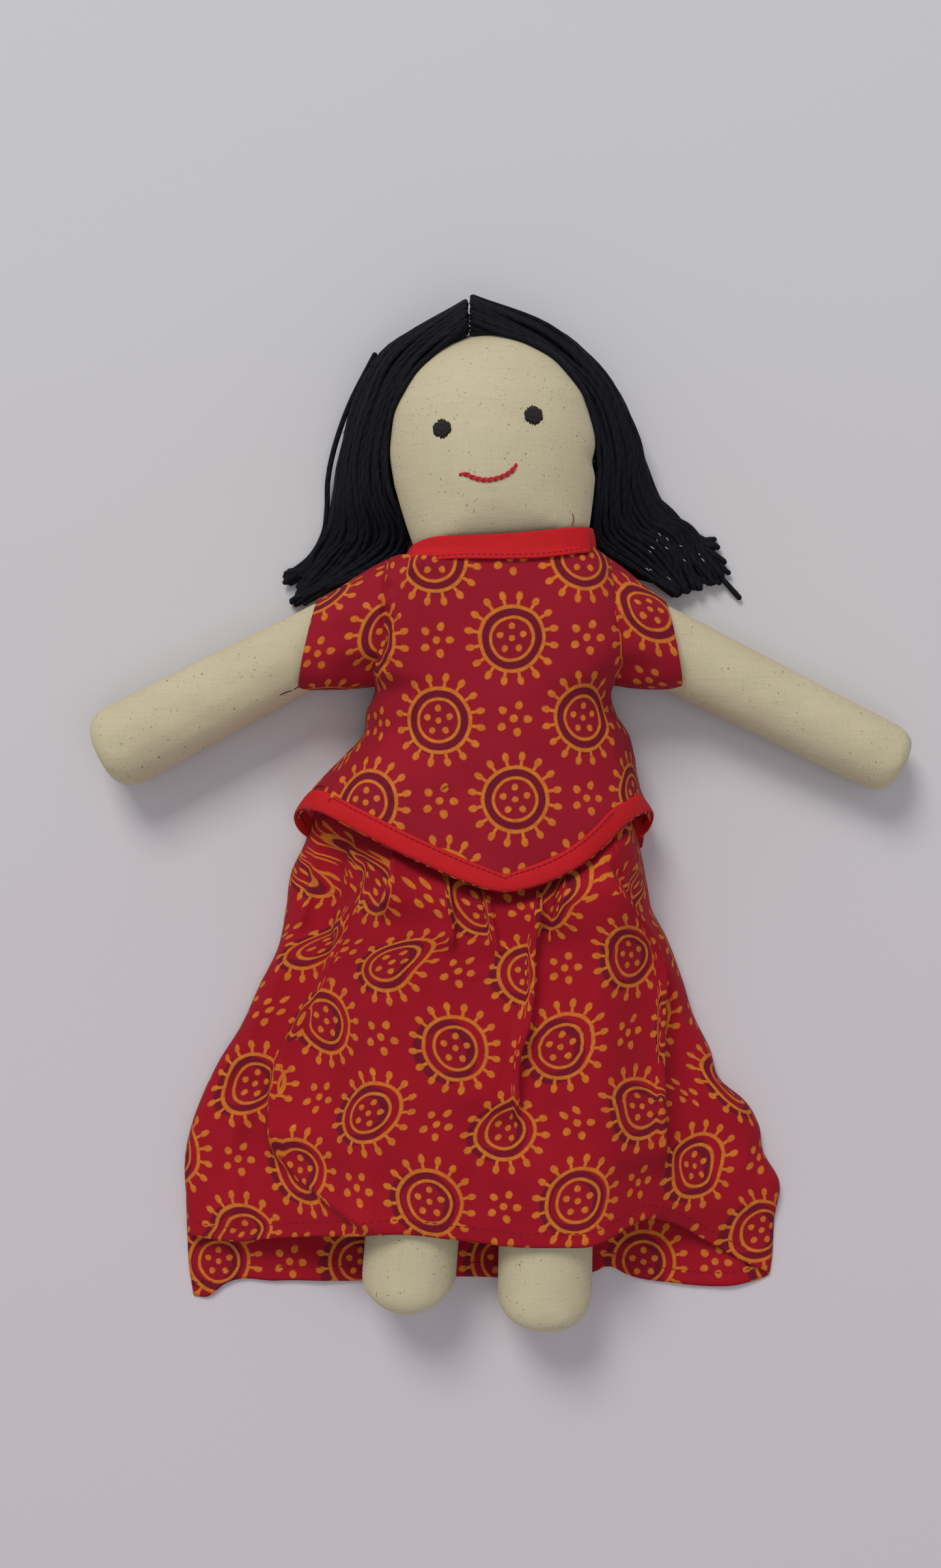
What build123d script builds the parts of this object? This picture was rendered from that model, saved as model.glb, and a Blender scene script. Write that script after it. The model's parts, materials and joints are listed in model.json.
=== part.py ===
from build123d import *
import math
import os

# A stuffed cloth doll, lying on its back. Millimetres. X runs to the doll's own left, Y to the top of its
# head, Z up through its front. The origin is on the back of the blouse, on the surface that the doll lies on.

# ---- driving dimensions -------------------------------------------------------------------------------
CLOTH = 0.8                      # a layer of printed cotton with its seam
CALICO = 0.6                     # the unbleached cotton of the body
AIR = 0.35                       # room between two layers that move apart

TORSO_FLOOR = 3.8                # underside of the torso, above the layers of clothing
TORSO_TOP_Y = 76.0
TORSO_END_Y = -44.0
TORSO_SEAM_Z = 5.8               # where the front and back panels are sewn together

# Sections across the doll, head end first: (y, left edge x, right edge x, height of the crown above z = 0)
TORSO = [(TORSO_TOP_Y, -19, 39, 38.5), (62, -27, 47, 41.0), (30, -28, 48, 42.0),
         (-10, -28, 48, 42.0), (TORSO_END_Y, -25, 45, 39.5)]
BLOUSE = [(79.3, -24, 45, 43.5), (70, -30.5, 50.5, 45.5), (34, -32, 51, 47.0),
          (12, -41, 56, 48.2), (-9, -62, 64.5, 49.6), (-38, -66, 68, 49.6)]
SKIRT = [(-16.2, -31.5, 51.5, 46.0), (-25, -58, 58, 46.6), (-50, -68, 69, 44.0),
         (-83, -81, 82, 42.0), (-118, -98, 100, 40.0), (-140, -103, 109, 38.8), (-160, -102.5, 108.5, 37.6)]

CASING_Y = (-16.0, -6.0)         # waist casing, at the top of the skirt
ELASTIC_Y = (-14.0, -8.0)
CASING, CHANNEL, ELASTIC = (0.3, 2.5), (0.9, 1.9), (1.0, 1.8)   # inside and outside, beyond the torso
CHANNEL_SIDE = 0.4               # the channel is this much wider than the elastic on each side

COLLAR_Y = (79.6, 87.6)
COLLAR_ROOM = 0.5                # between the collar and the neck

HEM_TIP = (11.7, -35.5)          # point of the V of the blouse's front hem
HEM_SPAN = 90.0                  # the lines of the V are drawn out to this far on each side
HEM_RIGHT_Y, HEM_LEFT_Y = -0.2, 2.4   # their heights there
HEM_BACK_Y = -25.0
BINDING = 7.6                    # finished width of the bias tape
BINDING_SLOPE = 1.07             # that width measured along Y, on the slope of the V, over its own value
TAPE_OVER, TAPE_UNDER = 0.5, 0.6   # how far the tape stands out of both sides of the cloth

SKIRT_FRONT_Y = -160.0           # front hem, lifted by the legs
STITCH_LOW_Z = 3.0               # the front hem's stitches end this far above the table
SKIRT_STEP_Y = -26.5             # where the skirt's back drops from the blouse's hem to the table
SKIRT_BACK = [(-26.5, -60, 59.5), (-50, -69, 70), (-83, -81.5, 82), (-118, -98.5, 101),
              (-140, -104, 110), (-179, -100, 107)]

HEAD_BASE = (11.5, 80.0)         # middle of the neck
HEAD_LEAN = 6.0                  # degrees the head leans to the doll's right
HEAD_Z = 27.0
HEAD_RADIUS = 36.2               # half the widest part of the face
HEAD_WIDEST = 36.0               # its distance above the neck
HEAD_CROWN = 77.5
HEAD_FLAT = 0.64                 # thickness of the head over its width
NECK_PIVOT_Y = 101.8
NECK_RADIUS = 22.3               # the neck end is round about the pivot, so that the head can nod
FACE_LEAN = 8.0                  # the embroidered face leans a little more than the head

EYES = [("right_eye", -9.6, 119.4), ("left_eye", 21.0, 123.7)]
EYE_RADII = (2.8, 3.3)
MOUTH = (6.7, 117.6, 15.6, 1.3)  # centre x, centre y, radius and width of the smiling line
MOUTH_WINDOW = (19.5, 14.0)      # the box that keeps only the lower arc of the mouth's circle
FLOSS = 0.9                      # how far embroidery stands out of the cloth
TACKS = [(43.4, 112.0), (-29.4, 108.0)]   # where the hair is sewn to the cheeks
TACK_RADIUS, TACK_LENGTH = 0.6, 6.0
TACK_ROOM = 0.05                 # between a tack and the cloth and yarn round it

HAIR_CENTRE = (6.5, 115.0)
HAIR_RADII = (56.0, 49.5, 36.0)
HAIR_LOW_Y = 90.0
PARTING_X = -0.5
PARTING_GAP = 0.5                # from the parting to either half of the hair
PARTING_THREAD = 0.4             # half the width of the thread in the parting
PARTING_THREAD_Y = 148.0         # how far down the thread is seen
HAIR_END_HEIGHT = 9.0
HAIR_ROOM = 0.4                  # between the yarn and the head
HAIR_END_ROOM = 0.3              # between the loose ends and the rest of the hair
HAIR_ENDS_RIGHT = [(-23, 89.6), (-23, 84.5), (-35, 80.5), (-62, 69.5), (-66, 75), (-54, 89.6)]
HAIR_ENDS_LEFT = [(45, 89.6), (45, 83), (55, 79), (76, 69.5), (96, 68.5), (91, 77), (88, 87.5),
                  (74, 95), (66, 104), (60.5, 104), (58, 89.6)]

# Arms: centre of the shoulder ball, its radius, far end and its radius, rounding of the hand
ARMS = {"left": dict(ball=(65.5, 49.7, 16.0), start=14.0, tip=(152.9, 6.4, 12.7), end=12.6, edge=6.0),
        "right": dict(ball=(-44.5, 54.0, 15.6), start=13.5, tip=(-130.8, 9.4, 15.4), end=15.3, edge=9.0)}
LEGS = {"left": dict(ball=(28.6, -62.0, 17.7), start=16.5, tip=(25.5, -189.6, 17.7), end=16.5, edge=11.0),
        "right": dict(ball=(-12.4, -62.0, 17.7), start=16.5, tip=(-22.7, -183.6, 17.7), end=16.5, edge=11.0)}

# Sleeves: armhole centre, cuff centre, half height and half width at each, direction the cuff faces
SLEEVES = {"left": dict(hole=(52.8, 57.5, 20.4), cuff=(70.6, 48.0, 17.2), big=(20.5, 19.4),
                        small=(17.2, 17.0), facing=(0.974, -0.225, 0)),
           "right": dict(hole=(-34.2, 57.5, 20.4), cuff=(-56.7, 48.7, 17.4), big=(20.5, 19.4),
                         small=(16.8, 16.8), facing=(-0.975, -0.222, 0))}

ARMHOLE_RADIUS = 13.5
ARMHOLE_REACH = 30.0             # how far into the blouse the armhole is cut
ARMHOLE_SHIFT = 3.0              # the armhole is cut a little nearer the head than the arm's joint
ARMHOLE_Z = 20.0

STITCH = 0.45                    # how far machine stitches stand out of the cloth
HEM_STITCH = (0.8, 1.5)          # from the inner edge of the front hem's tape, to both sides of its stitches
COLLAR_STITCH = (1.6, 2.2)       # the same, from the lower edge of the collar
SKIRT_STITCH = (5.0, 5.6)        # the same, from the edge of the skirt's front hem

STUD_RADIUS = 3.5
STUD_Y = (55.0, 20.0)
STUD_HEIGHT = 1.6
OPENING_X = 10.0                 # the blouse's back opening
OPENING_GAP = 0.2                # from its middle to either half
BIG = 400.0

os.makedirs("parts", exist_ok=True)


# ---- shapes -------------------------------------------------------------------------------------------
def slab(x0, x1, y0, y1, z0, z1):
    """A plain block between the given limits."""
    return Pos((x0 + x1) / 2, (y0 + y1) / 2, (z0 + z1) / 2) * Box(x1 - x0, y1 - y0, z1 - z0)


def arch(y, left, right, height, floor, grow):
    """A flat-bottomed half ellipse across the doll at y, made larger all round by grow."""
    middle, low = (left + right) / 2, floor - grow
    half, rise = (right - left) / 2 + grow, height + grow - low
    plane = Plane((middle, y, low), x_dir=(1, 0, 0), z_dir=(0, -1, 0))
    with BuildSketch(plane) as sketch:
        with BuildLine():
            EllipticalCenterArc((0, 0), half, rise, start_angle=0, arc_size=180)
            Line((-half, 0), (half, 0))
        make_face()
    return sketch.sketch


def dome(sections, floor=0.0, grow=0.0):
    """A closed solid through a list of sections: the shape of cloth lying over a stuffed body."""
    return loft([arch(y, left, right, height, floor, grow) for y, left, right, height in sections])


def ring(sections, y0, y1, floor, inner, outer):
    """The layer between two sizes of one dome, cut to a stretch of its length."""
    layer = dome(sections, floor, outer) - dome(sections, floor, inner)
    return layer & slab(-BIG, BIG, y0, y1, -BIG, BIG)


def region(points, z0, z1):
    """An outline of straight runs, made into a block."""
    return Pos(0, 0, z0) * extrude(make_face(Polyline(*points, close=True)), z1 - z0)


def egg(grow=0.0):
    """The head: round about its own axis, flattened from front to back, with a rounded neck end."""
    r, low = HEAD_RADIUS + grow, -12.0
    with BuildSketch() as profile:
        with BuildLine():
            Line((0, low), (26.5 + grow, low))
            ThreePointArc((26.5 + grow, low), (33.4 + grow, 14), (r, HEAD_WIDEST))
            EllipticalCenterArc((0, HEAD_WIDEST), r, HEAD_CROWN - HEAD_WIDEST + grow,
                                start_angle=0, arc_size=90)
            Line((0, HEAD_CROWN + grow), (0, low))
        make_face()
    body = scale(revolve(profile.sketch, Axis.Y), by=(1, 1, HEAD_FLAT))
    body = Pos(HEAD_BASE[0], HEAD_BASE[1], HEAD_Z) * Rot(0, 0, HEAD_LEAN) * body
    neck = Pos(0, NECK_PIVOT_Y, HEAD_Z) * Rot(0, 90, 0) * Cylinder(NECK_RADIUS + grow * HEAD_FLAT, 2 * BIG)
    return body & (slab(-BIG, BIG, NECK_PIVOT_Y, BIG, -BIG, BIG) + neck)


def limb(ball, start, tip, end, edge, inset=0.0):
    """A stuffed tube: a ball at the joint, a slight taper, and a closed end with rounded edges."""
    length = math.dist(ball, tip) - inset
    r0, r1, corner = start - inset, end - inset, edge - inset
    with BuildSketch() as profile:
        with BuildLine():
            ThreePointArc((-r0, 0), (-r0 * math.sqrt(0.5), r0 * math.sqrt(0.5)), (0, r0))
            Line((0, r0), (length - corner, r1))
            RadiusArc((length - corner, r1), (length, r1 - corner), corner)
            Line((length, r1 - corner), (length, 0))
            Line((length, 0), (-r0, 0))
        make_face()
    direction = [b - a for a, b in zip(ball, tip)]
    return Plane(ball, x_dir=direction, z_dir=(0, 0, 1)) * revolve(profile.sketch, Axis.X)


def sleeve_form(hole, cuff, big, small, facing, grow=0.0, overrun=0.0):
    """The closed shape of a short sleeve, from the armhole to the cuff."""
    side = 1 if cuff[0] > hole[0] else -1
    start = Plane((hole[0] - side * overrun, hole[1], hole[2]), x_dir=(0, 1, 0), z_dir=(side, 0, 0))
    finish = [c + f * overrun for c, f in zip(cuff, facing)]
    across = (-side * facing[1], side * facing[0], 0)
    stop = Plane(finish, x_dir=across, z_dir=facing)
    first = start * Ellipse(big[0] + grow, big[1] + grow)
    last = stop * Ellipse(small[0] + grow, small[1] + grow)
    return loft([first, last])


nodes = {}


def keep(name, shape, colour):
    """Names a finished piece. A piece may be a group of separate solids."""
    solids = shape.solids() if hasattr(shape, "solids") else [shape]
    piece = solids[0] if len(solids) == 1 else Compound(children=list(solids))
    piece.label, piece.color = name, Color(*colour)
    nodes[name] = piece


CALICO_COLOUR, FIBRE = (0.78, 0.73, 0.6), (0.93, 0.92, 0.88)
PRINT, TAPE, YARN, THREAD = (0.6, 0.07, 0.12), (0.8, 0.1, 0.13), (0.03, 0.03, 0.06), (0.4, 0.02, 0.05)

# ---- torso --------------------------------------------------------------------------------------------
torso = dome(TORSO, TORSO_FLOOR)
core = dome(TORSO, TORSO_FLOOR, -CALICO)
core &= slab(-BIG, BIG, TORSO_END_Y + CALICO, TORSO_TOP_Y - CALICO, -BIG, BIG)
skin = torso - core
keep("torso_back_panel", skin & slab(-BIG, BIG, -BIG, BIG, 0, TORSO_SEAM_Z), CALICO_COLOUR)
keep("torso_front_panel", skin & slab(-BIG, BIG, -BIG, BIG, TORSO_SEAM_Z, BIG), CALICO_COLOUR)
keep("torso_stuffing", core, FIBRE)

# ---- head and face ------------------------------------------------------------------------------------
tacks = [Pos(x, y, HEAD_Z) * Rot(0, 90, 0) * Cylinder(TACK_RADIUS, TACK_LENGTH) for x, y in TACKS]
tack_holes = [Pos(x, y, HEAD_Z) * Rot(0, 90, 0) * Cylinder(TACK_RADIUS + TACK_ROOM, TACK_LENGTH + 2 * TACK_ROOM)
              for x, y in TACKS]
head, head_core = egg(), egg(-CALICO)
cover = head - head_core
filling = head_core
for hole in tack_holes:
    cover, filling = cover - hole, filling - hole
keep("head_front_panel", cover & slab(-BIG, BIG, -BIG, BIG, HEAD_Z, BIG), CALICO_COLOUR)
keep("head_back_panel", cover & slab(-BIG, BIG, -BIG, BIG, -BIG, HEAD_Z), CALICO_COLOUR)
keep("head_stuffing", filling, FIBRE)

embroidery = egg(FLOSS) - head
for name, x, y in EYES:
    patch = Pos(x, y, HEAD_Z) * Rot(0, 0, FACE_LEAN) * extrude(Ellipse(*EYE_RADII), 40)
    keep(name, embroidery & patch, YARN)
mouth_x, mouth_y, mouth_r, mouth_w = MOUTH
smile = Circle(mouth_r + mouth_w / 2) - Circle(mouth_r - mouth_w / 2)
smile &= Pos(0, -mouth_r) * Rectangle(*MOUTH_WINDOW)
smile = Pos(mouth_x, mouth_y, HEAD_Z) * Rot(0, 0, FACE_LEAN) * extrude(smile, 40)
keep("mouth", embroidery & smile, TAPE)

# ---- hair ---------------------------------------------------------------------------------------------


def halo_form(grow=0.0):
    """The outer shape of the yarn round the head, down to the level of the chin."""
    radii = tuple(radius + grow for radius in HAIR_RADII)
    form = Pos(HAIR_CENTRE[0], HAIR_CENTRE[1], 0) * scale(Sphere(1.0), by=radii)
    return form & slab(-BIG, BIG, HAIR_LOW_Y - grow, BIG, -BIG, BIG)


halo = halo_form() & slab(-BIG, BIG, -BIG, BIG, AIR, BIG)
halo -= egg(HAIR_ROOM)
for hole in tack_holes:
    halo -= hole
keep("hair_right", halo & slab(-BIG, PARTING_X - PARTING_GAP, -BIG, BIG, 0, BIG), YARN)
keep("hair_left", halo & slab(PARTING_X + PARTING_GAP, BIG, -BIG, BIG, 0, BIG), YARN)
crown_strip = slab(PARTING_X - PARTING_THREAD, PARTING_X + PARTING_THREAD, PARTING_THREAD_Y, BIG, 1, BIG)
keep("parting_thread", halo & crown_strip, THREAD)
keep("hair_tacks", Compound(children=tacks), YARN)
keep("hair_ends_right", region(HAIR_ENDS_RIGHT, AIR, HAIR_END_HEIGHT), YARN)
keep("hair_ends_left", region(HAIR_ENDS_LEFT, AIR, HAIR_END_HEIGHT) - halo_form(HAIR_END_ROOM), YARN)

# ---- arms, legs and sleeves ---------------------------------------------------------------------------
for side, sizes in ARMS.items():
    whole, inside = limb(**sizes), limb(**sizes, inset=CALICO)
    keep(f"{side}_arm_cover", whole - inside, CALICO_COLOUR)
    keep(f"{side}_arm_stuffing", inside, FIBRE)
for side, sizes in LEGS.items():
    whole, inside = limb(**sizes), limb(**sizes, inset=CALICO)
    keep(f"{side}_leg_cover", whole - inside, CALICO_COLOUR)
    keep(f"{side}_leg_stuffing", inside, FIBRE)
for side, sizes in SLEEVES.items():
    cloth = sleeve_form(**sizes) - sleeve_form(**sizes, grow=-CLOTH, overrun=0.5)
    keep(f"{side}_sleeve", cloth, PRINT)

# ---- blouse -------------------------------------------------------------------------------------------
outside = dome(BLOUSE)
shell = outside - dome(BLOUSE, 0.0, -CLOTH)
for side, sizes in ARMS.items():
    inward = -ARMHOLE_REACH / 2 if side == "left" else ARMHOLE_REACH / 2
    middle = Pos(sizes["ball"][0] + inward, sizes["ball"][1] + ARMHOLE_SHIFT, ARMHOLE_Z)
    shell -= middle * Rot(0, 90, 0) * Cylinder(ARMHOLE_RADIUS, ARMHOLE_REACH + 10)
tip_x, tip_y = HEM_TIP


def above_hem(rise):
    """Everything on the head's side of the V of the front hem, moved up by rise."""
    return region([(-HEM_SPAN, HEM_RIGHT_Y + rise), (tip_x, tip_y + rise), (HEM_SPAN, HEM_LEFT_Y + rise),
                   (HEM_SPAN, 90), (-HEM_SPAN, 90)], CLOTH, BIG)


rise = BINDING * BINDING_SLOPE
keep("blouse_front", shell & above_hem(rise), PRINT)
tape = dome(BLOUSE, TAPE_OVER, TAPE_OVER) - dome(BLOUSE, -TAPE_UNDER, -CLOTH - TAPE_UNDER)
tape_zone = above_hem(0) - above_hem(rise)
keep("front_hem_binding", tape & tape_zone, TAPE)
stitch_line = dome(BLOUSE, 0.0, STITCH) - outside
stitch_zone = above_hem(rise + HEM_STITCH[0]) - above_hem(rise + HEM_STITCH[1])
keep("front_hem_topstitching", stitch_line & stitch_zone, THREAD)

spread = dome(BLOUSE, -1.0)      # starts under the table, so that the back is cut off flat at z = 0
back = spread & slab(-BIG, BIG, HEM_BACK_Y + BINDING, BIG, 0, CLOTH)
keep("blouse_back_right", back & slab(-BIG, OPENING_X - OPENING_GAP, -BIG, BIG, 0, BIG), PRINT)
keep("blouse_back_left", back & slab(OPENING_X + OPENING_GAP, BIG, -BIG, BIG, 0, BIG), PRINT)
keep("back_hem_binding", spread & slab(-BIG, BIG, HEM_BACK_Y, HEM_BACK_Y + BINDING, 0, CLOTH), TAPE)
studs = [Pos(OPENING_X, y, CLOTH + STUD_HEIGHT / 2) * Cylinder(STUD_RADIUS, STUD_HEIGHT) for y in STUD_Y]
keep("back_press_studs", Compound(children=studs), (0.75, 0.76, 0.78))

# ---- collar -------------------------------------------------------------------------------------------
collar_zone = slab(-BIG, BIG, *COLLAR_Y, -BIG, BIG)
neck_side, outer_side = egg(COLLAR_ROOM), egg(COLLAR_ROOM + CLOTH)
keep("collar_band", (outer_side - neck_side) & collar_zone, TAPE)
thread_zone = slab(-BIG, BIG, COLLAR_Y[0] + COLLAR_STITCH[0], COLLAR_Y[0] + COLLAR_STITCH[1], HEAD_Z, BIG)
keep("collar_topstitching", (egg(COLLAR_ROOM + CLOTH + STITCH) - outer_side) & thread_zone, THREAD)

# ---- waist --------------------------------------------------------------------------------------------
channel = ring(TORSO, ELASTIC_Y[0] - CHANNEL_SIDE, ELASTIC_Y[1] + CHANNEL_SIDE, TORSO_FLOOR, *CHANNEL)
keep("waist_casing", ring(TORSO, *CASING_Y, TORSO_FLOOR, *CASING) - channel, PRINT)
keep("waist_elastic", ring(TORSO, *ELASTIC_Y, TORSO_FLOOR, *ELASTIC), FIBRE)

# ---- skirt --------------------------------------------------------------------------------------------
front = dome(SKIRT) - dome(SKIRT, 0.0, -CLOTH)
front -= slab(-BIG, BIG, -BIG, SKIRT_STEP_Y, -1, CLOTH)
front -= slab(-BIG, BIG, SKIRT_STEP_Y - CLOTH, BIG, -1, 2 * CLOTH + AIR)
keep("skirt_front", front, PRINT)

outline = [(left, y) for y, left, _ in SKIRT_BACK] + [(right, y) for y, _, right in reversed(SKIRT_BACK)]
lower = region(outline, 0, CLOTH)
top_y = CASING_Y[0] - 0.2
step_low = CLOTH + AIR
upper = dome(SKIRT) & slab(-BIG, BIG, SKIRT_STEP_Y - CLOTH, top_y, step_low, step_low + CLOTH)
riser = dome(SKIRT) & slab(-BIG, BIG, SKIRT_STEP_Y - CLOTH, SKIRT_STEP_Y, 0, step_low + CLOTH)
keep("skirt_back", lower + upper + riser, PRINT)
hem_line = dome(SKIRT, 0.0, STITCH) - dome(SKIRT)
hem_zone = slab(-BIG, BIG, SKIRT_FRONT_Y + SKIRT_STITCH[0], SKIRT_FRONT_Y + SKIRT_STITCH[1], STITCH_LOW_Z, BIG)
keep("skirt_hem_stitching", hem_line & hem_zone, THREAD)

for name, piece in nodes.items():
    export_step(piece, f"parts/{name}.step")
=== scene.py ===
import json
import logging
import math
import random
from dataclasses import dataclass, field
from enum import Enum
from typing import Callable, Optional, Sequence

import bmesh
import bpy
import numpy as np
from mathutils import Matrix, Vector
from mathutils.bvhtree import BVHTree


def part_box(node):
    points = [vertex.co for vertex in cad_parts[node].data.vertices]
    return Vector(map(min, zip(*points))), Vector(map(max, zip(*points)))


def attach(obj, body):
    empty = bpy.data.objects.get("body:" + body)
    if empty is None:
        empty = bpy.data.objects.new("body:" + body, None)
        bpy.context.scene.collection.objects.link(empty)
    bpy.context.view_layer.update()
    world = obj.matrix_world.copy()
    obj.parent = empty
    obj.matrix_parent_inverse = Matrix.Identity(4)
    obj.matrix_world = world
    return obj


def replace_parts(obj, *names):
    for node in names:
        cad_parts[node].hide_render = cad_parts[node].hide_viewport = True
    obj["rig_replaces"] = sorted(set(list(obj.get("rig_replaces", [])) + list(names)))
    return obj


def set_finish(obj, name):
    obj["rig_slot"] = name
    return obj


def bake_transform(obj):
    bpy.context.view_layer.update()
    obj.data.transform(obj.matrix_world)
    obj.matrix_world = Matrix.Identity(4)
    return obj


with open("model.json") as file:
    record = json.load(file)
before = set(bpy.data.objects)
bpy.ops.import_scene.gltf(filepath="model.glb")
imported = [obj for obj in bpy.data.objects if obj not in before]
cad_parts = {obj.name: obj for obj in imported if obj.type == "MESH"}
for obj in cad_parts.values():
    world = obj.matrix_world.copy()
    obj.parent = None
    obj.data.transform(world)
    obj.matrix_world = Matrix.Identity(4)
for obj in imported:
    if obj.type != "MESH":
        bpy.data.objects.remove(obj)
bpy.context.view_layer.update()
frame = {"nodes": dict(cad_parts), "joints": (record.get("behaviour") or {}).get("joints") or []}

MM = 0.001
TAU = 2.0 * math.pi
LOG = logging.getLogger("cloth_doll")

Point = Sequence[float]
Array = np.ndarray
Piece = bpy.types.Object
Material = bpy.types.Material
Socket = bpy.types.NodeSocket


# ---- Shader maths ----
class Value:
    """A number that varies over a surface: wraps a node socket and adds Math nodes for each operator."""

    def __init__(self, graph: "Graph", socket: Socket) -> None:
        """Keep the graph and the socket that carries the number."""
        self.graph = graph
        self.socket = socket

    def _math(self, operation: str, *others: "float | Value", clamp: bool = False) -> "Value":
        """Add one Math node with this value as its first input."""
        return self.graph.math(operation, self, *others, clamp=clamp)

    def __add__(self, other: "float | Value") -> "Value":
        """Sum."""
        return self._math("ADD", other)

    def __sub__(self, other: "float | Value") -> "Value":
        """Difference."""
        return self._math("SUBTRACT", other)

    def __mul__(self, other: "float | Value") -> "Value":
        """Product."""
        return self._math("MULTIPLY", other)

    def __truediv__(self, other: "float | Value") -> "Value":
        """Quotient."""
        return self._math("DIVIDE", other)

    def __rsub__(self, other: float) -> "Value":
        """A plain number less this value."""
        return self.graph.math("SUBTRACT", other, self)

    def __abs__(self) -> "Value":
        """Size without sign."""
        return self._math("ABSOLUTE")

    def sin(self) -> "Value":
        """Sine."""
        return self._math("SINE")

    def fract(self) -> "Value":
        """The part after the decimal point."""
        return self._math("FRACT")

    def floor(self) -> "Value":
        """The whole number below."""
        return self._math("FLOOR")

    def sqrt(self) -> "Value":
        """Square root."""
        return self._math("SQRT")

    def most(self, other: "float | Value") -> "Value":
        """The larger of two."""
        return self._math("MAXIMUM", other)

    def clamp(self) -> "Value":
        """The value kept between 0 and 1."""
        return self._math("ADD", 0.0, clamp=True)

    def under(self, edge: float, soft: float) -> "Value":
        """1 where the value is below the edge and 0 above it, over a soft width."""
        return ((edge - self) / soft + 0.5).clamp()


class Graph:
    """One material's node tree, with short ways to add nodes."""

    def __init__(self, name: str) -> None:
        """Start an empty material with a Principled shader.

        Args:
            name: the material's name.
        """
        self.material = bpy.data.materials.new(name)
        self.material.use_nodes = True
        self.tree = self.material.node_tree
        self.tree.nodes.clear()
        self.out = self.node("ShaderNodeOutputMaterial")
        self.shader = self.node("ShaderNodeBsdfPrincipled")
        self.tree.links.new(self.shader.outputs[0], self.out.inputs[0])

    def node(self, kind: str, settings: Optional[dict] = None,
             inputs: Optional[dict] = None) -> bpy.types.Node:
        """Add a node.

        Args:
            kind: the node's type name.
            settings: properties set before anything is linked.
            inputs: socket name or number to a value or a link.

        Returns:
            The new node.
        """
        node = self.tree.nodes.new(kind)
        for key, value in (settings or {}).items():
            setattr(node, key, value)
        for key, value in (inputs or {}).items():
            self.feed(node.inputs[key], value)
        return node

    def feed(self, socket: Socket, value: object) -> None:
        """Set a socket to a plain value, or link it."""
        if isinstance(value, Value):
            self.tree.links.new(value.socket, socket)
        elif isinstance(value, Socket):
            self.tree.links.new(value, socket)
        elif isinstance(value, (tuple, list)) and len(value) == 3 and socket.type == "RGBA":
            socket.default_value = (*value, 1.0)
        else:
            socket.default_value = value

    def math(self, operation: str, *inputs: "float | Value", clamp: bool = False) -> Value:
        """One Math node on up to three inputs."""
        node = self.node("ShaderNodeMath", {"operation": operation, "use_clamp": clamp},
                         dict(enumerate(inputs)))
        return Value(self, node.outputs[0])

    def mix(self, factor: "float | Value", low: object, high: object) -> Socket:
        """Mix two colours.

        Args:
            factor: 0 for the first, 1 for the second.
            low: the first colour, as three numbers or a link.
            high: the second colour.

        Returns:
            The mixed colour's socket.
        """
        node = self.node("ShaderNodeMix", {"data_type": "RGBA"}, {0: factor, 6: low, 7: high})
        return node.outputs[2]

    def blend_values(self, factor: Value, low: Value, high: Value) -> Value:
        """A number between two others."""
        return low + (high - low) * factor

    def split(self, vector: Socket) -> tuple:
        """The three numbers of a vector."""
        node = self.node("ShaderNodeSeparateXYZ", {}, {0: vector})
        return tuple(Value(self, out) for out in node.outputs)

    def join(self, x: object, y: object, z: object = 0.0) -> Socket:
        """A vector made of three numbers."""
        return self.node("ShaderNodeCombineXYZ", {}, {0: x, 1: y, 2: z}).outputs[0]

    def object_place(self) -> Socket:
        """The point on the object, in metres."""
        return self.node("ShaderNodeTexCoord").outputs["Object"]

    def cloth_place(self, name: str = "cloth") -> Socket:
        """The point on the flat cloth, in metres, from the piece's own UV map."""
        return self.node("ShaderNodeUVMap", {"uv_map": name}).outputs[0]

    def noise(self, place: Socket, scale: float, detail: float = 2.0,
              roughness: float = 0.5) -> Value:
        """Smooth random numbers around 0.5."""
        node = self.node("ShaderNodeTexNoise", {},
                         {"Vector": place, "Scale": scale, "Detail": detail, "Roughness": roughness})
        return Value(self, node.outputs["Fac"])

    def random_cell(self, place: Socket) -> tuple:
        """Three random numbers that stay the same over one cell."""
        node = self.node("ShaderNodeTexWhiteNoise", {"noise_dimensions": "2D"}, {"Vector": place})
        return self.split(node.outputs["Color"])

    def bump(self, height: Value, distance: float, strength: float) -> Socket:
        """A bumped normal.

        Args:
            height: the height over the surface, from 0 to 1.
            distance: how far 1 stands out, in metres.
            strength: how much of it is felt.

        Returns:
            The normal's socket.
        """
        inputs = {"Height": height, "Distance": distance, "Strength": strength}
        return self.node("ShaderNodeBump", {}, inputs).outputs[0]

    def finish(self, colour: object, roughness: object, normal: Optional[Socket] = None,
               sheen: float = 0.0, sheen_tint: Point = (1.0, 1.0, 1.0), metallic: float = 0.0,
               specular: float = 0.3) -> Material:
        """Feed the shader and hand back the material."""
        self.feed(self.shader.inputs["Base Color"], colour)
        self.feed(self.shader.inputs["Roughness"], roughness)
        for name, value in (("Metallic", metallic), ("Specular IOR Level", specular), ("Sheen Weight", sheen),
                            ("Sheen Roughness", 0.5), ("Sheen Tint", sheen_tint)):
            self.feed(self.shader.inputs[name], value)
        if normal is not None:
            self.feed(self.shader.inputs["Normal"], normal)
        return self.material


def plain_weave(x: Value, y: Value, pitch: float) -> Value:
    """The height of a plain weave: threads over and under each other.

    Args:
        x: place across the cloth, in metres.
        y: place along the cloth.
        pitch: from one thread to the next, in metres.

    Returns:
        The height, from 0 to 1.
    """
    return (x * (math.pi / pitch)).sin() * (y * (math.pi / pitch)).sin() * 0.5 + 0.5


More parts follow.
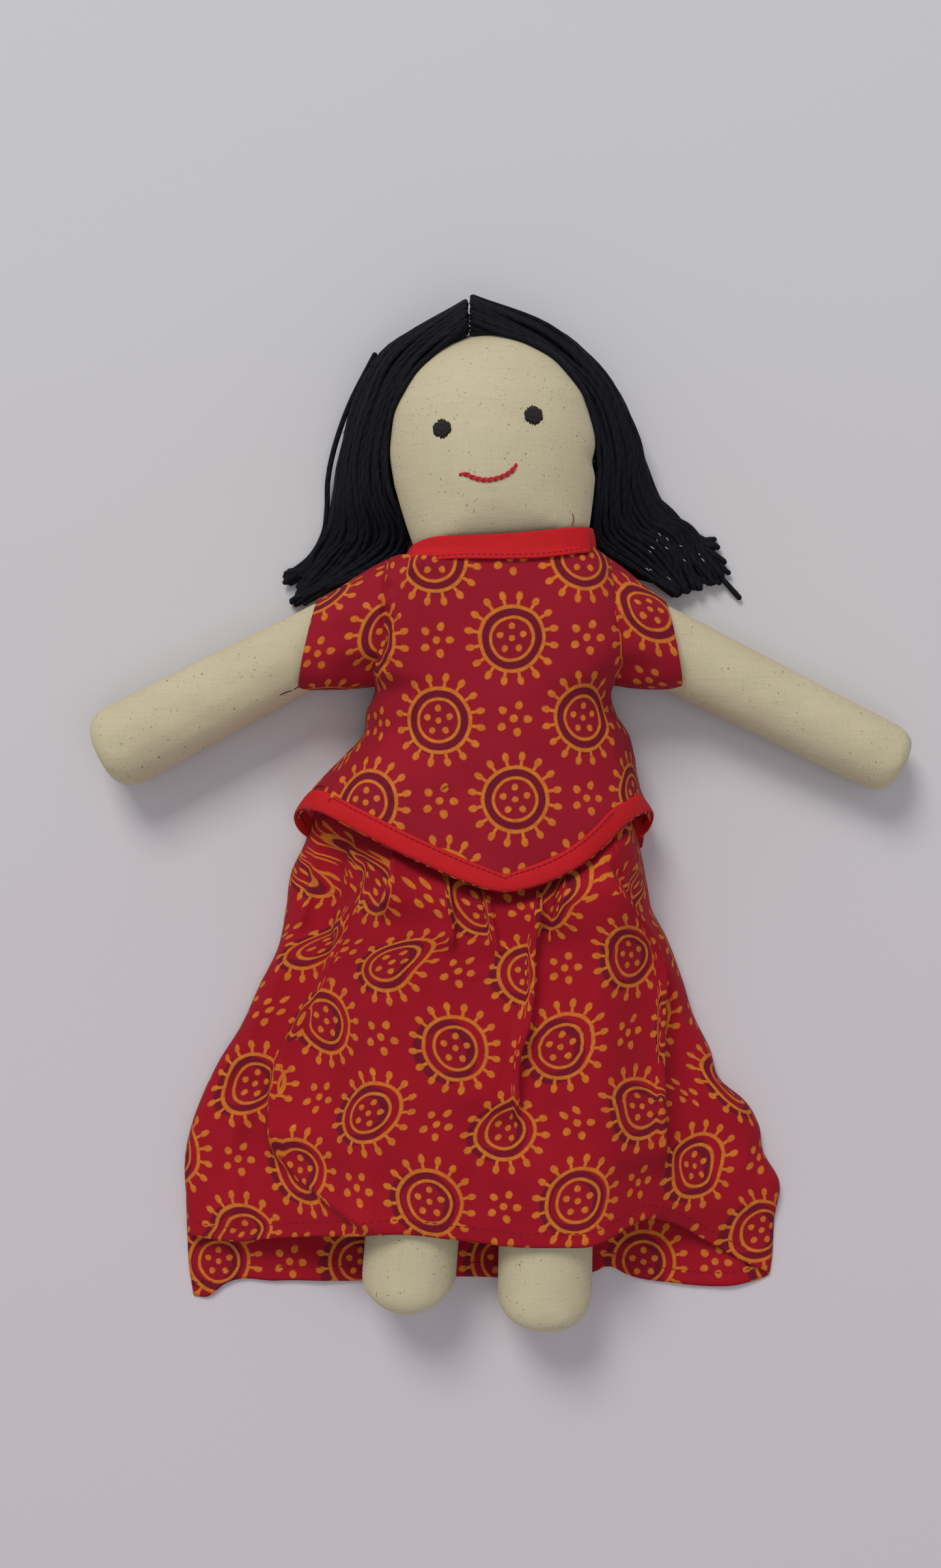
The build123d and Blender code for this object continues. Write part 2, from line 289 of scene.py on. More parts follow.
# ---- Finishes ----
@dataclass(frozen=True)
class Calico:
    """Unbleached cotton: cream, slubby, with fine dark seed flecks."""

    name: str = "calico"
    base: tuple = (0.47, 0.41, 0.250)
    pale: tuple = (0.66, 0.59, 0.405)
    fleck: tuple = (0.16, 0.11, 0.06)
    thread_pitch: float = 0.00052

    def make(self) -> Material:
        """Build the material on object coordinates."""
        g = Graph(self.name)
        place = g.object_place()
        x, y, z = g.split(place)
        slub_x = g.noise(g.join(x * 90.0, y * 1500.0, z * 90.0), 1.0, 3.0)
        slub_y = g.noise(g.join(x * 1500.0, y * 90.0, z * 1500.0), 1.0, 3.0)
        cloud = g.noise(place, 28.0, 3.0)
        tone = (slub_x * 0.45 + slub_y * 0.35 + cloud * 0.5 - 0.15).clamp()
        colour = g.mix(tone, self.base, self.pale)
        seeds = g.noise(place, 900.0, 1.0)
        places = g.noise(place, 160.0, 2.0)
        flecks = seeds.under(0.285, 0.03) * (1.0 - places.under(0.46, 0.1))
        dust = g.noise(place, 1700.0, 1.0).under(0.27, 0.05)
        colour = g.mix((flecks * 0.65 + dust * 0.42).clamp(), colour, self.fleck)
        weave = plain_weave(x + y * 0.02, y, self.thread_pitch)
        height = weave * 0.5 + slub_x * 0.5 + slub_y * 0.5
        normal = g.bump(height, 0.00016, 0.7)
        return g.finish(colour, 0.86, normal, sheen=0.08, specular=0.2)


@dataclass(frozen=True)
class BlockPrint:
    """Crimson cotton, printed by hand with suns in orange and maroon, and clusters of six dots between."""

    name: str = "block_print"
    ground: tuple = (0.36, 0.008, 0.022)
    ground_deep: tuple = (0.26, 0.006, 0.018)
    orange: tuple = (0.66, 0.20, 0.018)
    orange_dry: tuple = (0.50, 0.11, 0.02)
    maroon: tuple = (0.10, 0.005, 0.018)
    column: float = 25.4             # from a sun to the next column, mm
    row: float = 27.2                # from a sun to the next row, mm
    shift: tuple = (0.0, 0.0)        # where a sun's centre falls, mm
    turn: float = 2.0                # degrees that the print is off the grain
    slip: tuple = (0.5, -0.3)        # how far the maroon block missed the orange one, mm
    outer_ring: float = 10.9         # radii of a sun's rings, rays, clubs, seeds and maroon band, mm
    inner_ring: float = 7.3
    rays: float = 12.4
    clubs: float = 14.6
    seeds: float = 4.2
    maroon_band: float = 9.2
    ray_count: int = 16
    petals: float = 4.75             # radius of the ring of dots in a cluster, mm
    dot_count: int = 5               # dots round the middle one
    thread_pitch: float = 0.00045

    def _motifs(self, g: Graph, x: Value, y: Value, ox: float, oy: float) -> tuple:
        """Place within one of two offset lattices, mm, and a number for each motif."""
        across = (x / (2.0 * self.column) + (0.5 + ox))
        along = (y / (2.0 * self.row) + (0.5 + oy))
        px = (across.fract() - 0.5) * (2.0 * self.column)
        py = (along.fract() - 0.5) * (2.0 * self.row)
        return px, py, g.join(across.floor() + ox * 7.0, along.floor() + oy * 5.0)

    def _nearest(self, g: Graph, x: Value, y: Value, odd: bool) -> tuple:
        """The nearest motif of a kind: place from its centre, distance, and random numbers."""
        first = self._motifs(g, x, y, 0.0, 0.5 if odd else 0.0)
        second = self._motifs(g, x, y, 0.5, 0.0 if odd else 0.5)
        d1 = first[0] * first[0] + first[1] * first[1]
        d2 = second[0] * second[0] + second[1] * second[1]
        pick = g.math("LESS_THAN", d2, d1)
        px = g.blend_values(pick, first[0], second[0])
        py = g.blend_values(pick, first[1], second[1])
        r1, r2 = g.random_cell(first[2]), g.random_cell(second[2])
        rnd = tuple(g.blend_values(pick, a, b) for a, b in zip(r1, r2))
        return px, py, rnd

    @staticmethod
    def _around(g: Graph, px: Value, py: Value, radius: float, count: int, size: float,
                stretch: float = 1.0, phase: float = 0.0) -> Value:
        """Distance, in dot sizes, from the nearest of a ring of dots."""
        r = (px * px + py * py).sqrt()
        angle = g.math("ARCTAN2", py, px) / TAU
        local = ((angle + phase) * count).fract() - 0.5
        side = r * (local * (TAU / count)).sin()
        out = (r - radius) / stretch
        return (out * out + side * side).sqrt() / size

    def make(self) -> Material:
        """Build the material on the cloth's own flat coordinates."""
        g = Graph(self.name)
        place = g.cloth_place()
        u, v, _ = g.split(place)
        wander = g.noise(g.join(u * 60.0, v * 60.0, 3.0), 1.0, 2.0)
        wander_too = g.noise(g.join(u * 60.0, v * 60.0, 9.0), 1.0, 2.0)
        x0 = u * 1000.0 - self.shift[0] + (wander - 0.5) * 1.6
        y0 = v * 1000.0 - self.shift[1] + (wander_too - 0.5) * 1.6
        c, s = math.cos(math.radians(self.turn)), math.sin(math.radians(self.turn))
        x, y = x0 * c + y0 * s, y0 * c - x0 * s
        rough = g.noise(place, 1900.0, 2.0, 0.7)
        edge = (rough - 0.5) * 0.5
        px, py, rnd = self._nearest(g, x, y, odd=False)
        r = (px * px + py * py).sqrt() + edge
        ring = abs(r - self.outer_ring).under(0.62, 0.35)
        inner = abs(r - self.inner_ring).under(0.52, 0.35)
        stems = self._around(g, px, py, self.rays, self.ray_count, 0.55, 2.6) + edge
        clubs = self._around(g, px, py, self.clubs, self.ray_count, 1.12, 1.35) + edge
        dots = self._around(g, px, py, self.seeds, self.dot_count, 1.08, 1.05, 0.05) + edge
        middle = r / 1.05
        sun = ring.most(inner).most(stems.under(1.0, 0.35)).most(clubs.under(1.0, 0.3))
        sun = sun.most(dots.under(1.0, 0.3)).most(middle.under(1.0, 0.3))
        sx = px - self.slip[0] - (rnd[0] - 0.5) * 1.6
        sy = py - self.slip[1] - (rnd[1] - 0.5) * 1.8
        r2 = (sx * sx + sy * sy).sqrt() + edge * 1.4
        band = abs(r2 - self.maroon_band).under(1.95, 0.6)
        smudge = r2.under(7.2, 1.0) * 0.28
        dx, dy, _ = self._nearest(g, x, y, odd=True)
        spots = self._around(g, dx, dy, self.petals, self.dot_count, 1.25, 1.15, 0.11) + edge
        spot = ((dx * dx + dy * dy).sqrt() / 1.3 + edge).under(1.0, 0.3)
        spots = spots.under(1.0, 0.3).most(spot)
        cover = g.noise(place, 420.0, 3.0, 0.6)
        thin = (cover * 1.5 - 0.1).clamp()
        wash = g.noise(place, 35.0, 3.0)
        weave = plain_weave(u, v, self.thread_pitch)
        ground = g.mix((wash * 1.4 - 0.2).clamp(), self.ground_deep, self.ground)
        ground = g.mix((weave * 0.22).clamp(), ground, self.ground_deep)
        dark = (band.most(smudge) * (cover * 0.5 + 0.6)).clamp()
        colour = g.mix(dark * 0.85, ground, self.maroon)
        ink = g.mix(thin, self.orange_dry, self.orange)
        mask = (sun.most(spots) * (thin * 0.25 + 0.78)).clamp()
        colour = g.mix(mask, colour, ink)
        slub = g.noise(g.join(u * 80.0, v * 1700.0), 1.0, 3.0)
        normal = g.bump(weave * 0.6 + slub * 0.5 + mask * 0.25, 0.0001, 0.5)
        return g.finish(colour, 0.82, normal, sheen=0.02, sheen_tint=(1.0, 0.6, 0.6), specular=0.15)


@dataclass(frozen=True)
class PlainCotton:
    """Plain dyed cotton, as in bias tape: a diagonal weave and soft colour changes."""

    name: str
    base: tuple
    deep: tuple
    thread_pitch: float = 0.00042

    def make(self) -> Material:
        """Build the material on object coordinates, with the weave on the bias."""
        g = Graph(self.name)
        place = g.object_place()
        x, y, z = g.split(place)
        wash = g.noise(place, 60.0, 3.0)
        fine = g.noise(place, 700.0, 2.0)
        colour = g.mix((wash * 1.2 + fine * 0.5 - 0.35).clamp(), self.deep, self.base)
        weave = plain_weave(x * 0.7071 + y * 0.7071, x * 0.7071 - y * 0.7071 + z, self.thread_pitch)
        normal = g.bump(weave * 0.7 + fine * 0.4, 0.0001, 0.5)
        return g.finish(colour, 0.78, normal, sheen=0.02, sheen_tint=(1.0, 0.6, 0.6), specular=0.18)


@dataclass(frozen=True)
class Strand:
    """Twisted fibre: yarn, floss or sewing thread, on coordinates that run along each strand."""

    name: str
    base: tuple
    lit: tuple
    twist: float                     # turns in a metre
    depth: float                     # of the groove between plies, metres
    plies: int = 3
    gloss: float = 0.75
    sheen: float = 0.25

    def make(self) -> Material:
        """Build the material on the strand's UV map: U round it, V along it in metres."""
        g = Graph(self.name)
        u, v, _ = g.split(g.cloth_place("strand"))
        ply = ((u * self.plies + v * self.twist) * TAU).sin() * 0.5 + 0.5
        fibre = g.noise(g.join(u * 24.0 + v * (self.twist * 3.0), v * 700.0), 1.0, 3.0)
        patch = g.noise(g.object_place(), 130.0, 2.0)
        tone = (ply * 0.5 + fibre * 0.6 + patch * 0.5 - 0.35).clamp()
        colour = g.mix(tone, self.base, self.lit)
        normal = g.bump(ply * 0.8 + fibre * 0.4, self.depth, 0.8)
        return g.finish(colour, self.gloss, normal, sheen=self.sheen, sheen_tint=self.lit, specular=0.2)


@dataclass(frozen=True)
class Fibrefill:
    """Loose white stuffing."""

    name: str = "fibrefill"

    def make(self) -> Material:
        """Build the material on object coordinates."""
        g = Graph(self.name)
        place = g.object_place()
        tufts = g.noise(place, 240.0, 5.0, 0.7)
        colour = g.mix(tufts, (0.72, 0.70, 0.66), (0.93, 0.92, 0.90))
        return g.finish(colour, 0.95, g.bump(tufts, 0.0015, 0.8), sheen=0.3)


@dataclass(frozen=True)
class Nickel:
    """Plated metal of the press studs, with fine scratches."""

    name: str = "nickel"

    def make(self) -> Material:
        """Build the material on object coordinates."""
        g = Graph(self.name)
        worn = g.noise(g.object_place(), 800.0, 4.0)
        colour = g.mix(worn, (0.55, 0.54, 0.52), (0.78, 0.77, 0.74))
        return g.finish(colour, worn * 0.25 + 0.2, g.bump(worn, 0.00004, 0.4), metallic=1.0)


@dataclass(frozen=True)
class Floor:
    """Pale paper under the doll, with painted shade: it fades to a darker mauve towards the doll's feet,
    where the light falls off.
    """

    name: str = "pale_paper"
    colour: tuple = (0.615, 0.615, 0.62)
    # painted shade: the darker mauve that the floor turns towards the doll's feet, standing in for the light
    # falling off
    warm: tuple = (0.64, 0.585, 0.61)

    def make(self) -> Material:
        """Build the material: pale paper that fades into the painted shade colour towards negative y."""
        g = Graph(self.name)
        place = g.object_place()
        _, y, _ = g.split(place)
        # painted shade: towards negative y the paper colour fades into the painted shade colour
        paper_with_painted_shade = g.mix((y * 2.4 + 0.5).clamp(), self.warm, self.colour)
        return g.finish(paper_with_painted_shade, 0.85, g.bump(g.noise(place, 900.0, 3.0), 0.00004, 0.4), specular=0.2)


class Materials:
    """Every finish of the doll, each made once."""

    def __init__(self) -> None:
        """Build them all."""
        self.calico = Calico().make()
        self.blouse = BlockPrint(name="blouse_print", shift=(13.9, 49.2), turn=1.2, slip=(0.2, -0.2)).make()
        self.skirt = BlockPrint(name="skirt_print", ground=(0.40, 0.006, 0.018),
                                ground_deep=(0.29, 0.004, 0.014), shift=(-14.2, -145.0), turn=0.0,
                                column=25.6, row=27.0, slip=(-3.0, -0.9)).make()
        self.tape = PlainCotton("bias_tape", base=(0.60, 0.012, 0.016), deep=(0.48, 0.009, 0.014)).make()
        self.yarn = Strand("yarn", base=(0.0034, 0.0033, 0.0052), lit=(0.009, 0.009, 0.015),
                           twist=210.0, depth=0.00018, gloss=0.9, sheen=0.04).make()
        self.black_floss = Strand("black_floss", base=(0.009, 0.007, 0.006), lit=(0.026, 0.021, 0.018),
                                  twist=500.0, depth=0.00008, plies=2, gloss=0.5).make()
        self.red_floss = Strand("red_floss", base=(0.36, 0.010, 0.014), lit=(0.56, 0.03, 0.035),
                                twist=500.0, depth=0.00012, plies=2, gloss=0.5).make()
        self.thread = Strand("sewing_thread", base=(0.16, 0.003, 0.008), lit=(0.30, 0.010, 0.02),
                             twist=900.0, depth=0.00005, plies=3, gloss=0.6).make()
        self.dark_thread = Strand("dark_thread", base=(0.03, 0.004, 0.010), lit=(0.07, 0.01, 0.02),
                                  twist=900.0, depth=0.00005, plies=3, gloss=0.6).make()
        self.casing = PlainCotton("skirt_casing", base=(0.36, 0.006, 0.018), deep=(0.27, 0.004, 0.014)).make()
        self.elastic = PlainCotton("elastic", base=(0.80, 0.79, 0.76), deep=(0.66, 0.65, 0.62)).make()
        self.fibrefill = Fibrefill().make()
        self.nickel = Nickel().make()


# ---- Making pieces ----
def deselect() -> None:
    """Leave nothing selected."""
    bpy.ops.object.select_all(action="DESELECT")


def only(piece: Piece) -> None:
    """Select one piece and make it active."""
    deselect()
    piece.select_set(True)
    bpy.context.view_layer.objects.active = piece


def named(name: str) -> Piece:
    """Name the piece that was just added."""
    piece = bpy.context.object
    piece.name = name
    piece.data.name = name
    return piece


def on_all_faces(piece: Piece, operator: Callable, **settings: object) -> None:
    """Run one operator of edit mode on the whole mesh."""
    only(piece)
    bpy.ops.object.mode_set(mode="EDIT")
    bpy.ops.mesh.select_all(action="SELECT")
    operator(**settings)
    bpy.ops.object.mode_set(mode="OBJECT")


def apply_modifier(piece: Piece, kind: str, **settings: object) -> None:
    """Add one modifier and apply it.

    Args:
        piece: the piece to change.
        kind: the modifier's type.
        settings: its properties.
    """
    only(piece)
    modifier = piece.modifiers.new(kind.lower(), kind)
    for key, value in settings.items():
        setattr(modifier, key, value)
    bpy.ops.object.modifier_apply(modifier=modifier.name)


def move_points(piece: Piece, places: Array) -> None:
    """Put a mesh's points at new places, in metres."""
    piece.data.vertices.foreach_set("co", np.asarray(places, dtype=np.float32).ravel())
    piece.data.update()


def points_of(piece: Piece) -> Array:
    """A mesh's points, in metres."""
    places = np.empty(len(piece.data.vertices) * 3, dtype=np.float32)
    piece.data.vertices.foreach_get("co", places)
    return places.reshape(-1, 3).astype(float)


def write_map(piece: Piece, name: str, values: Array) -> None:
    """Give a mesh a UV map from one pair of numbers for each point."""
    layer = piece.data.uv_layers.new(name=name)
    corners = np.empty(len(piece.data.loops), dtype=np.int32)
    piece.data.loops.foreach_get("vertex_index", corners)
    layer.data.foreach_set("uv", np.asarray(values, dtype=np.float32)[corners].ravel())


def dress(piece: Piece, material: Material, slot: str, smooth: bool = True) -> None:
    """Give a piece its material and the record's slot, and shade it smooth."""
    piece.data.materials.clear()
    piece.data.materials.append(material)
    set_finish(piece, slot)
    if smooth:
        only(piece)
        bpy.ops.object.shade_smooth()
    LOG.info("%s: %d faces", piece.name, len(piece.data.polygons))


def fit(piece: Piece, material: Material, slot: str, body: str, *nodes: str) -> None:
    """Dress a piece, name the nodes that it stands for, and fix it to its body."""
    dress(piece, material, slot)
    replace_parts(piece, *nodes)
    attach(piece, body)


def through(stations: Sequence[float], values: Sequence[float], at: Array) -> Array:
    """A smooth line through a few values, flat past both ends.

    Args:
        stations: where the values are, rising.
        values: the values.
        at: where to read the line.

    Returns:
        The values read.
    """
    s, p = np.asarray(stations, float), np.asarray(values, float)
    slope = np.gradient(p, s)
    t = np.clip(at, s[0], s[-1])
    k = np.clip(np.searchsorted(s, t, side="right") - 1, 0, len(s) - 2)
    h = s[k + 1] - s[k]
    w = (t - s[k]) / h
    a, b = p[k], p[k + 1]
    ma, mb = slope[k] * h, slope[k + 1] * h
    return ((2 * w**3 - 3 * w**2 + 1) * a + (w**3 - 2 * w**2 + w) * ma
            + (3 * w**2 - 2 * w**3) * b + (w**3 - w**2) * mb)


def ease(value: Array, low: float, high: float) -> Array:
    """A soft step from 0 to 1 between low and high."""
    t = np.clip((value - low) / (high - low), 0.0, 1.0)
    return t * t * (3.0 - 2.0 * t)


class Wobble:
    """Smooth random unevenness made of a few waves."""

    def __init__(self, seed: int, wavelength: float, waves: int = 7) -> None:
        """Choose the waves.

        Args:
            seed: makes the same unevenness each time.
            wavelength: the longest wave, in mm.
            waves: how many are added.
        """
        draw = random.Random(seed)
        self.waves = []
        for _ in range(waves):
            angle = draw.uniform(0.0, TAU)
            length = wavelength * draw.uniform(0.35, 1.0)
            direction = np.array([math.cos(angle), math.sin(angle)]) * TAU / length
            self.waves.append((direction, draw.uniform(0.0, TAU), draw.uniform(0.4, 1.0)))

    def __call__(self, x: Array, y: Array) -> Array:
        """Height between about -1 and 1 at places in mm."""
        total = sum(size * np.sin(k[0] * x + k[1] * y + phase) for k, phase, size in self.waves)
        return total / sum(size for _, _, size in self.waves)


@dataclass(frozen=True)
class Fold:
    """A fold that runs along the cloth: soft on one side, steep on the other."""

    path: tuple                      # (x, y) points, mm, from its upper end to its lower end
    height: float                    # of its crest above the cloth, mm
    soft: float                      # width of its gentle side, mm
    steep: float                     # width of its steep side, mm
    steep_side: int = -1             # -1 when the steep side faces the doll's right, 1 for its left
    lean: float = 0.0                # how far the crest hangs over its steep side, mm
    fade: float = 14.0               # length over which its ends die away, mm
    tuck: float = 0.0                # cloth hidden under its steep side, mm

    def shape(self, x: Array, y: Array) -> tuple:
        """How the fold moves the cloth.

        Args:
            x: places across the doll, mm.
            y: places along it, mm.

        Returns:
            The sideways shift and the rise, in mm.
        """
        xs, ys = zip(*self.path[::-1])
        middle = through(ys, xs, y)
        d = (x - middle) * -self.steep_side
        gentle = np.exp(-np.clip(d, 0, None) / self.soft)
        sharp = np.exp(-(np.clip(-d, 0, None) / self.steep) ** 2)
        ends = ease(y, ys[0] - self.fade * 0.4, ys[0] + self.fade * 0.6) * (
            1.0 - ease(y, ys[-1] - self.fade * 0.6, ys[-1] + self.fade * 0.4))
        amount = np.where(d >= 0, gentle, sharp) * ends
        return amount * self.lean * self.steep_side, amount * self.height

    def hidden(self, x: Array, y: Array, middle_x: float) -> Array:
        """How much further the flat coordinate has gone past the fold, away from the middle."""
        xs, ys = zip(*self.path[::-1])
        line = through(ys, xs, y)
        ends = ease(y, ys[0] - self.fade, ys[0] + self.fade) * (
            1.0 - ease(y, ys[-1] - self.fade, ys[-1] + self.fade))
        past = ease(x, line - self.steep * 0.5, line + self.steep * 0.5)
        outer = past if xs[len(xs) // 2] >= middle_x else past - 1.0
        return outer * self.tuck * ends


def folded(folds: Sequence[Fold], x: Array, y: Array) -> tuple:
    """The sideways shift and the rise, mm, of several folds together."""
    shift, rise = np.zeros_like(x), np.zeros_like(x)
    for fold in folds:
        dx, dz = fold.shape(x, y)
        shift, rise = shift + dx, rise + dz
    return shift, rise


@dataclass
class Cloth:
    """A sheet of cloth laid out on a grid, shaped by a formula, with its flat coordinates kept."""

    name: str
    columns: int
    rows: int
    surface: Callable[[Array, Array], Array]
    thickness: float = 0.55
    tucks: Optional[Callable] = None # cloth hidden in folds, added to the place across, mm
    sags: Optional[Callable] = None  # how far the grain hangs off straight, added to the place along
    shift: tuple = (0.0, 0.0)        # for a sleeve: added across, and place along of the middle column
    wrap: bool = False               # joined to itself round its first direction

    def build(self) -> Piece:
        """Make the sheet.

        Returns:
            The piece, solid and with its "cloth" UV map in metres.
        """
        deselect()
        bpy.ops.mesh.primitive_grid_add(x_subdivisions=self.columns, y_subdivisions=self.rows, size=2.0)
        piece = named(self.name)
        start = points_of(piece)
        a = np.rint((start[:, 0] + 1.0) * 0.5 * self.columns).astype(int)
        b = np.rint((1.0 - start[:, 1]) * 0.5 * self.rows).astype(int)
        u, v = a / self.columns, b / self.rows
        places = self.surface(u, v)
        move_points(piece, places * MM)
        table = np.zeros((self.rows + 1, self.columns + 1, 3))
        table[b, a] = places
        flat = self._round(table) if self.wrap else self._flat(table)
        write_map(piece, "cloth", flat[b, a] * MM)
        if self.wrap:
            on_all_faces(piece, bpy.ops.mesh.remove_doubles, threshold=0.00001)
        apply_modifier(piece, "SOLIDIFY", thickness=self.thickness * MM, offset=-1.0)
        return piece

    def _flat(self, table: Array) -> Array:
        """Flat coordinates, mm: across by length over the cloth, along by the place on the doll."""
        steps = np.diff(table, axis=1)
        lengths = np.hypot(steps[..., 0], steps[..., 2])
        side = np.hstack([np.zeros((table.shape[0], 1)), np.cumsum(lengths, axis=1)])
        i = self.columns // 2
        side = side - side[:, i:i + 1] + table[:, i:i + 1, 0]
        if self.tucks is not None:
            side = side + self.tucks(table[..., 0], table[..., 1])
        along = table[..., 1]
        if self.sags is not None:
            along = along + self.sags(table[..., 0], along)
        return np.stack([side, along], axis=2)

    def _round(self, table: Array) -> Array:
        """Flat coordinates of a sleeve, mm: across by place on the doll, along by length round the tube."""
        steps = np.diff(table, axis=1)
        lengths = np.hypot(steps[..., 1], steps[..., 2])
        round_ = np.hstack([np.zeros((table.shape[0], 1)), np.cumsum(lengths, axis=1)])
        i = self.columns // 2
        turn = -np.sign(table[0, i + 1, 1] - table[0, i - 1, 1])
        along = -(round_ - round_[:, i:i + 1]) * turn + self.shift[1]
        return np.stack([table[..., 0] + self.shift[0], along], axis=2)


@dataclass
class StrandSet:
    """Many strands of thread or yarn in one piece, each a tube along its own line."""

    name: str
    radius: float                    # mm
    sides: int = 6
    lines: list = field(default_factory=list)
    radii: list = field(default_factory=list)

    def add(self, line: Sequence[Point], radius: Optional[float] = None) -> None:
        """Add one strand through points in mm."""
        self.lines.append(np.asarray(line, float))
        self.radii.append(radius or self.radius)

    def stitch(self, track: Array, step: int, rises: Sequence[float], spare: int) -> None:
        """Add a row of stitches.

        Args:
            track: the row's line, mm.
            step: track points from one stitch to the next.
            rises: how far each point of a stitch stands above the track, mm.
            spare: track points left free at the row's end.
        """
        for start in range(0, len(track) - spare, step):
            self.add([track[start + k] + (0.0, 0.0, rise) for k, rise in enumerate(rises)])

    def build(self) -> Piece:
        """Make one mesh of all strands, with closed rounded ends and the "strand" UV map."""
        points, faces, uvs = [], [], []
        for line, radius in zip(self.lines, self.radii):
            self._tube(line, radius, points, faces, uvs)
        mesh = bpy.data.meshes.new(self.name)
        mesh.from_pydata(np.asarray(points) * MM, [], faces)
        piece = bpy.data.objects.new(self.name, mesh)
        bpy.context.collection.objects.link(piece)
        write_map(piece, "strand", np.asarray(uvs))
        return piece

    def _tube(self, line: Array, radius: float, points: list, faces: list, uvs: list) -> None:
        """Add one tube's rings and faces to the lists."""
        steps = np.diff(line, axis=0)
        lengths = np.linalg.norm(steps, axis=1)
        lengths[lengths == 0] = 1e-6
        tangents = np.vstack([steps[:1], steps[:-1] + steps[1:], steps[-1:]]) if len(steps) > 1 else (
            np.vstack([steps, steps]))
        tangents /= np.linalg.norm(tangents, axis=1)[:, None]
        along = np.concatenate([[0.0], np.cumsum(lengths)])
        up = np.array([0.0, 0.0, 1.0]) if abs(tangents[0][2]) < 0.9 else np.array([1.0, 0.0, 0.0])
        rings = [(0, -0.7, 0.35), (0, -0.35, 0.8)] + [(i, 0.0, 1.0) for i in range(len(line))]
        rings += [(len(line) - 1, 0.35, 0.8), (len(line) - 1, 0.7, 0.35)]
        base = len(points)
        for index, push, size in rings:
            t = tangents[index]
            side = np.cross(t, up)
            side /= np.linalg.norm(side)
            up = np.cross(side, t)
            centre = line[index] + t * push * radius
            for k in range(self.sides):
                angle = TAU * k / self.sides
                points.append(centre + (side * math.cos(angle) + up * math.sin(angle)) * radius * size)
                uvs.append((k / self.sides, (along[index] + push * radius) * MM))
        n = self.sides
        for ring in range(len(rings) - 1):
            for k in range(n):
                a, b = base + ring * n + k, base + ring * n + (k + 1) % n
                faces.append((a, b, b + n, a + n))
        faces.append(tuple(base + k for k in reversed(range(n))))
        last = base + (len(rings) - 1) * n
        faces.append(tuple(last + k for k in range(n)))


def tree_of(piece: Piece) -> BVHTree:
    """A search tree of a piece's surface, in metres."""
    return BVHTree.FromObject(piece, bpy.context.evaluated_depsgraph_get())


def top_of(tree: BVHTree, x: float, y: float) -> Optional[float]:
    """The height of the uppermost surface at a place, all in mm."""
    hit = tree.ray_cast(Vector((x * MM, y * MM, 0.2)), Vector((0, 0, -1)))[0]
    return None if hit is None else hit.z / MM


def lie_on(tree: BVHTree, x: Array, y: Array) -> Array:
    """The line of places that have the surface under them, with its height, mm."""
    heights = ((a, b, top_of(tree, a, b)) for a, b in zip(x, y))
    return np.array([place for place in heights if place[2] is not None])


def smooth_line(points: Sequence[Point], steps: int) -> Array:
    """A smooth line through a few points, read at even steps of its number."""
    p = np.asarray(points, float)
    s = np.arange(len(p), dtype=float)
    at = np.linspace(0, len(p) - 1, steps)
    return np.stack([through(s, p[:, k], at) for k in range(p.shape[1])], axis=1)


def even_line(line: Array, pitch: float) -> Array:
    """The same line, with points a set distance apart."""
    lengths = np.concatenate([[0.0], np.cumsum(np.linalg.norm(np.diff(line, axis=0), axis=1))])
    count = max(2, int(round(lengths[-1] / pitch)) + 1)
    at = np.linspace(0, lengths[-1], count)
    return np.stack([np.interp(at, lengths, line[:, k]) for k in range(line.shape[1])], axis=1)


# ---- The stuffed body ----
class Half(Enum):
    """The doll's own sides: its right is at negative X."""

    RIGHT = -1
    LEFT = 1

    @property
    def word(self) -> str:
        """The side's name in node names."""
        return self.name.lower()


def joint_place(name: str) -> Array:
    """A joint's place in mm."""
    joint = next(joint for joint in frame["joints"] if joint["name"] == name)
    return np.array(joint["pos_m"], float) / MM


